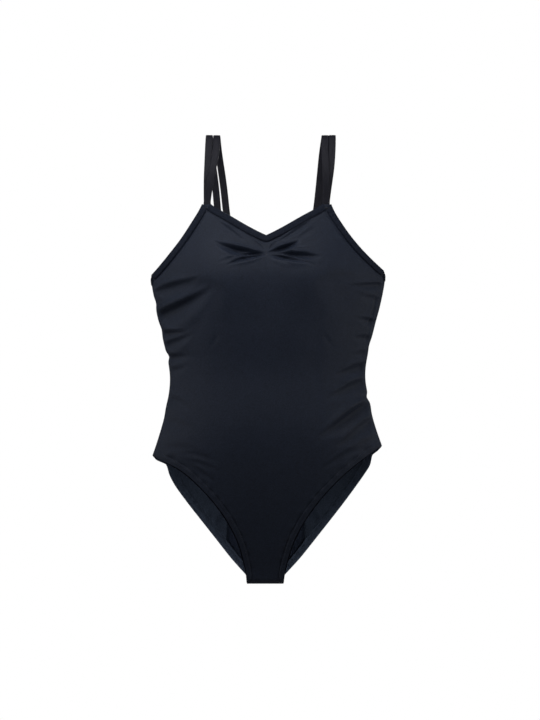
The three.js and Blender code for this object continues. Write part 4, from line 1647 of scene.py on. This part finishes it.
def spline(points: Array, per_gap: int = 24) -> Array:
    """A smooth line through points in space.

    Args:
        points: The points, one a row.
        per_gap: How many steps there are between two points.

    Returns:
        The line's points, one a row.
    """
    last = len(points) - 1
    t = np.linspace(0, last, last * per_gap + 1)
    i = np.minimum(t.astype(int), last - 1)
    w = (t - i)[:, None]
    p0, p1, p2, p3 = points[np.maximum(i - 1, 0)], points[i], points[i + 1], points[np.minimum(i + 2, last)]
    d0, d1, d2 = (
        np.maximum(np.linalg.norm(b - a, axis=1, keepdims=True) ** 0.5, 1e-3)
        for a, b in ((p0, p1), (p1, p2), (p2, p3))
    )
    m1 = np.where(i[:, None] == 0, p2 - p1, (p2 - p1) + d1 * ((p1 - p0) / d0 - (p2 - p0) / (d0 + d1)))
    m2 = np.where(i[:, None] == last - 1, p2 - p1, (p2 - p1) + d1 * ((p3 - p2) / d2 - (p3 - p1) / (d1 + d2)))
    h = [2 * w**3 - 3 * w**2 + 1, w**3 - 2 * w**2 + w, -2 * w**3 + 3 * w**2, w**3 - w**2]
    return h[0] * p1 + h[1] * m1 + h[2] * p2 + h[3] * m2


# ------------------------------------------------------------------------------------------- small pieces


@dataclass
class Tack:
    """A bar tack: a bundle of close stitches across a strap's end."""

    name: str
    side: Side
    x: float
    height: float
    length: float = 8.0
    rise: float = 2.4
    lift: float = 1.5

    def build(self) -> bpy.types.Object:
        """Makes the tack's stitches.

        Returns:
            The tack.
        """
        mesh = bmesh.new()
        mesh.loops.layers.uv.new("cloth")
        sign = math.copysign(1, self.x)
        bars = np.linspace(-self.length / 2, self.length / 2, 15)
        for bar in bars:
            x = np.array([self.x - 0.25, self.x + 0.25]) + sign * bar
            z = np.array([self.height - self.rise / 2, self.height + self.rise / 2])
            Stitching(self.rise, 9.0, 0.3).sew(mesh, FORM.on_cloth(self.side, x, z, self.lift))
        return finished(self.name, mesh, THREAD)


@dataclass
class SideSeam:
    """The overlocked allowances inside a side seam."""

    left: bool
    crease: float = 3.0
    allowance: float = 7.0
    rows: int = 90

    def build(self) -> bpy.types.Object:
        """Makes the strip with the thread's ridges across it.

        Returns:
            The strip.
        """
        sign = 1.0 if self.left else -1.0
        start, end = FORM.hip[1] + 16, FORM.underarm[1] - 32

        def place(u: Array, v: Array) -> Array:
            """Points of a flattened tube that waves along the seam.

            Args:
                u: Column numbers.
                v: Row numbers.

            Returns:
                Points in millimetres, one a row.
            """
            height = start + v / self.rows * (end - start)
            turn = u / 12 * 2 * np.pi
            reach = self.crease + self.allowance / 2 * (1 - np.cos(turn))
            wave = 0.8 * np.sin(v * 0.31) * (1 - np.cos(turn)) / 2
            y = (0.3 + 0.4 * (1 - np.cos(turn)) / 2 + 0.12 * np.sin(v * np.pi)) * np.sin(turn) + wave
            return np.stack([sign * (FORM.side_seam(height) - reach), y, height], axis=-1)

        name = f"{'left' if self.left else 'right'}_seam_overlock"
        return finished(name, closed_ends(laid(12, self.rows, place, (20, 224), weld=True)), THREAD)


@dataclass
class Pinch:
    """The gathered middle of the front: a stitched tunnel with elastic behind it."""

    centre: tuple[float, float] = (0.0, -184.0)
    height: float = 10.0

    def build(self) -> list[bpy.types.Object]:
        """Makes the stitches on the gathers and the elastic behind them.

        Returns:
            The stitches and the elastic.
        """
        x, z = self.centre
        heights = np.linspace(z - self.height / 2, z + self.height / 2, 12)
        line = FORM.on_cloth(Side.FRONT, np.full(12, x), heights, 0.25)
        stitches = stitched("pinch_stitches", [line], Stitching(1.7, 2.1, 0.3))

        def band(u: Array, v: Array) -> Array:
            """Points of the elastic behind the gathers."""
            return FORM.on_cloth(Side.FRONT, x + (u / 2 - 1) * 3, z + (v / 12 - 1) * 12, -2.2)

        elastic = finished("pinch_band", laid(4, 24, band, (6, 24)), ELASTIC)
        facing_out(elastic, Side.FRONT)
        thicken(elastic, 0.7)
        return [stitches, elastic]


@dataclass
class Label:
    """A blank satin label inside the back, sewn in under the back binding."""

    width: float = 28.0
    length: float = 22.0

    def build(self) -> bpy.types.Object:
        """Makes the label with a slight curl at its free end.

        Returns:
            The label.
        """

        def place(u: Array, v: Array) -> Array:
            """Points of the label's face, which looks out of the garment.

            Args:
                u: Column numbers.
                v: Row numbers.

            Returns:
                Points in millimetres, one a row.
            """
            height = FORM.back_dip - 4 - v / 16 * self.length
            curl = -4.6 - 1.6 * (v / 16) ** 2 + 0.25 * np.sin(u / 20 * 2 * np.pi)
            return FORM.on_cloth(Side.BACK, (u / 20 - 0.5) * self.width, height, curl)

        piece = finished("blank_label", laid(20, 16, place, (self.width, self.length)), LABEL)
        facing_out(piece, Side.BACK)
        thicken(piece, 0.3)
        return piece


# ------------------------------------------------------------------------------------------- the garment


@dataclass
class Leotard:
    """The whole garment, put together from its sub-assemblies."""

    pieces: list[bpy.types.Object] = field(default_factory=list)

    def stands_for(self, piece: bpy.types.Object, slot: str, *nodes: str) -> bpy.types.Object:
        """Rides a piece on the garment, in place of the plain solids that it stands for.

        Args:
            piece: The piece.
            slot: Its colour slot; not used.
            *nodes: The solids' names; none for a piece that only adds to the looks.

        Returns:
            The same piece.
        """
        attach(piece, "root")
        if nodes:
            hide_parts(*nodes)
        self.pieces.append(piece)
        log.info("%s: %d faces", piece.name, len(piece.data.polygons))
        return piece

    def add_shell(self) -> dict[str, bpy.types.Object]:
        """Adds the two panels, the shelf bra and the gusset.

        Returns:
            The four pieces of cloth by name.
        """
        front = self.stands_for(Panel(Side.FRONT, FORM.underbust).build(), "shell_fabric", "front_panel")
        back = self.stands_for(Panel(Side.BACK, FORM.back_dip - 45).build(), "shell_fabric", "back_panel")
        bra, band = ShelfBra().build()
        self.stands_for(bra, "lining_fabric", "shelf_bra_lining")
        self.stands_for(band, "elastic", "underbust_elastic")
        gusset, seam = Gusset().build()
        self.stands_for(gusset, "lining_fabric", "gusset_lining")
        self.stands_for(seam, "thread", "crotch_overlock")
        return {"front": front, "back": back, "bra": bra, "gusset": gusset}

    def add_edges(self) -> dict[str, list[bpy.types.Object]]:
        """Adds the bound top edges and the leg openings.

        Returns:
            The pieces sewn to the front's cloth and to the back's.
        """
        front_stack, back_stack = 2.8, 1.85
        neck = np.concatenate([FORM.neckline[:0:-1] * (-1, 1), FORM.neckline])
        scoop = np.concatenate([FORM.scoop * (-1, 1), FORM.scoop[-2::-1]])
        short = evenly(scoop, 260, 0.004, 0.996)
        edges = [
            Bound("neckline", Edge(Side.FRONT, evenly(neck, 130), -1.0), front_stack, mitre=Mitre.INNER),
            Bound("back_edge", Edge(Side.BACK, short, -1.0), back_stack),
        ]
        for sign, name in ((1, "left"), (-1, "right")):
            arm = evenly(FORM.armhole, 90, 0.0, 0.985) * (sign, 1)
            run = Edge(Side.FRONT, arm, -float(sign))
            edges.append(Bound(f"{name}_armhole", run, front_stack, mitre=Mitre.OUTER))
        made: dict[str, list[bpy.types.Object]] = {"front": [], "back": []}
        for bound in edges:
            strip, core, stitches = bound.build()
            self.stands_for(strip, "binding_fabric", f"{bound.name}_binding")
            self.stands_for(core, "elastic", f"{bound.name}_elastic")
            self.stands_for(stitches, "thread", f"{bound.name}_coverstitch")
            made[bound.edge.side.name.lower()] += [strip, core, stitches]
        for left in (True, False):
            hem, core, stitches = LegOpening(left).build()
            name = "left" if left else "right"
            self.stands_for(hem, "shell_fabric")
            self.stands_for(core, "elastic", f"{name}_leg_elastic")
            self.stands_for(stitches, "thread", f"{name}_leg_coverstitch")
            made["front"] += [hem, core, stitches]
        return made

    def add_straps(self) -> None:
        """Adds the four straps and their tacks."""
        for side, sign in (("left", 1), ("right", -1)):
            left = sign > 0
            for outer in (False, True):
                swing = 3.0 if left and outer else 7.7
                strap = Strap(left, outer, pitch=11.2 if left else 11.7, swing=swing)
                casing, core, stitches = strap.build()
                self.stands_for(casing, "strap_fabric", strap.name)
                self.stands_for(core, "elastic", f"{strap.name}_elastic")
                self.stands_for(stitches, "thread")
                back_x = strap.back_centre + (1 if outer else -1) * strap.back_pitch / 2
                word = "outer" if outer else "inner"
                height = float(FORM.top(Side.BACK, np.array(back_x))) - 4.5
                tack = Tack(f"{side}_back_{word}_tack", Side.BACK, sign * back_x, height).build()
                self.stands_for(tack, "thread", f"{side}_back_{word}_bar_tack")
            peak = Tack(f"{side}_front_tack", Side.FRONT, sign * FORM.peak_centre, FORM.peak_height - 5.5)
            self.stands_for(peak.build(), "thread", f"{side}_front_bar_tack")

    def add_details(self) -> bpy.types.Object:
        """Adds the side seams, the pinch and the label.

        Returns:
            The label.
        """
        for left in (True, False):
            self.stands_for(SideSeam(left).build(), "thread", f"{'left' if left else 'right'}_side_overlock")
        stitches, elastic = Pinch().build()
        self.stands_for(stitches, "thread", "pinch_stitching")
        self.stands_for(elastic, "elastic", "pinch_elastic")
        return self.stands_for(Label().build(), "label_satin", "care_label")

    def build(self) -> None:
        shell = self.add_shell()
        edges = self.add_edges()
        self.add_straps()
        label = self.add_details()


# ------------------------------------------------------------------------------------------- studio


@dataclass
class Studio:
    """A plain white sweep, soft lights at both sides and above, and the camera."""

    distance: float = 2.66
    lens: float = 85.0
    centre: tuple[float, float] = (0.006, -0.35)
    floor: float = -0.80
    bend_from: float = 1.2
    bend_length: float = 1.2

    def sweep(self) -> None:
        """Adds the floor that curves up behind."""
        mesh = bmesh.new()
        bmesh.ops.create_grid(mesh, x_segments=2, y_segments=40, size=1.0)
        for vert in mesh.verts:
            run = (vert.co.y + 1) / 2 * 7.0 - 3.5
            bend = min(max((run - self.bend_from) / self.bend_length, 0), 1) * math.pi / 2
            radius = self.bend_length / (math.pi / 2)
            y = min(run, self.bend_from) + radius * math.sin(bend)
            z = self.floor + radius * (1 - math.cos(bend)) + max(0.0, run - self.bend_from - self.bend_length)
            vert.co = Vector((vert.co.x * 4.0, y, z))
        material = bpy.data.materials.new("studio_paper")
        material.use_nodes = True
        tree = material.node_tree
        tree.nodes.clear()
        wire = Wiring(tree)
        paper = wire.add("ShaderNodeBsdfDiffuse", Color=(0.3, 0.3, 0.3, 1))
        glow = wire.add("ShaderNodeEmission", Color=(1, 1, 1, 1), Strength=1.0)
        seen = wire.add("ShaderNodeLightPath").outputs["Is Camera Ray"]
        mix = wire.add("ShaderNodeMixShader", _0=seen, _1=paper.outputs[0], _2=glow.outputs[0])
        wire.add("ShaderNodeOutputMaterial", Surface=mix.outputs[0])
        data = bpy.data.meshes.new("studio_sweep")
        mesh.to_mesh(data)
        mesh.free()
        data.shade_smooth()
        data.materials.append(material)
        piece = bpy.data.objects.new("studio_sweep", data)
        bpy.context.scene.collection.objects.link(piece)

    def light(
        self, name: str, place: tuple[float, float, float], size: tuple[float, float], power: float
    ) -> None:
        """Adds a soft box that looks at the middle of the garment.

        Args:
            name: The light's name.
            place: Where it stands, in metres.
            size: Its width and height, in metres.
            power: Its power in watts.
        """
        data = bpy.data.lights.new(name, "AREA")
        data.shape = "RECTANGLE"
        data.size, data.size_y = size
        data.energy = power
        lamp = bpy.data.objects.new(name, data)
        target = Vector((self.centre[0], 0, self.centre[1]))
        lamp.location = place
        lamp.rotation_euler = (target - Vector(place)).to_track_quat("-Z", "Y").to_euler()
        bpy.context.scene.collection.objects.link(lamp)

    def world(self) -> None:
        """Sets a white surround that gives only a little light."""
        world = bpy.data.worlds.new("studio_air")
        world.use_nodes = True
        tree = world.node_tree
        tree.nodes.clear()
        wire = Wiring(tree)
        seen = wire.add("ShaderNodeLightPath").outputs["Is Camera Ray"]
        strength = wire.math("MULTIPLY_ADD", seen, 0.95, 0.05)
        sky = wire.add("ShaderNodeBackground", Color=(1, 1, 1, 1), Strength=strength)
        wire.add("ShaderNodeOutputWorld", Surface=sky.outputs[0])
        bpy.context.scene.world = world

    def camera(self) -> None:
        """Adds the camera, level with the middle of the garment."""
        data = bpy.data.cameras.new("view")
        data.lens = self.lens
        data.sensor_width = 36.0
        camera = bpy.data.objects.new("view", data)
        camera.location = (self.centre[0], -self.distance, self.centre[1])
        camera.rotation_euler = (math.pi / 2, 0, 0)
        bpy.context.scene.collection.objects.link(camera)
        bpy.context.scene.camera = camera

    def build(self) -> None:
        """Sets up the floor, lights, surround and camera."""
        self.sweep()
        self.world()
        self.light("left_low_box", (-1.5, -0.25, -0.45), (0.5, 0.6), 5.5)
        self.light("right_low_box", (1.5, -0.25, -0.45), (0.5, 0.6), 7.0)
        self.light("left_high_box", (-1.6, -0.35, 0.35), (0.7, 1.0), 2.5)
        self.light("right_high_box", (1.6, -0.3, 0.35), (0.7, 1.0), 2.5)
        self.light("front_box", (-0.1, -0.46, 0.08), (0.8, 0.3), 2.6)
        self.light("top_box", (-0.1, -0.5, 0.62), (0.8, 0.4), 4.6)
        self.light("low_box", (0.0, -1.7, -0.62), (1.2, 0.3), 0.3)
        self.light("back_box", (0.5, 1.9, 0.1), (1.4, 1.6), 50.0)
        self.camera()
        bpy.context.scene.view_settings.view_transform = "Standard"


def main() -> None:
    """Builds the studio and the garment, logging each piece's face count."""
    logging.basicConfig(level=logging.INFO, format="%(name)s %(message)s")
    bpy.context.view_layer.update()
    Studio().build()
    Leotard().build()


if __name__ == "__main__":
    main()
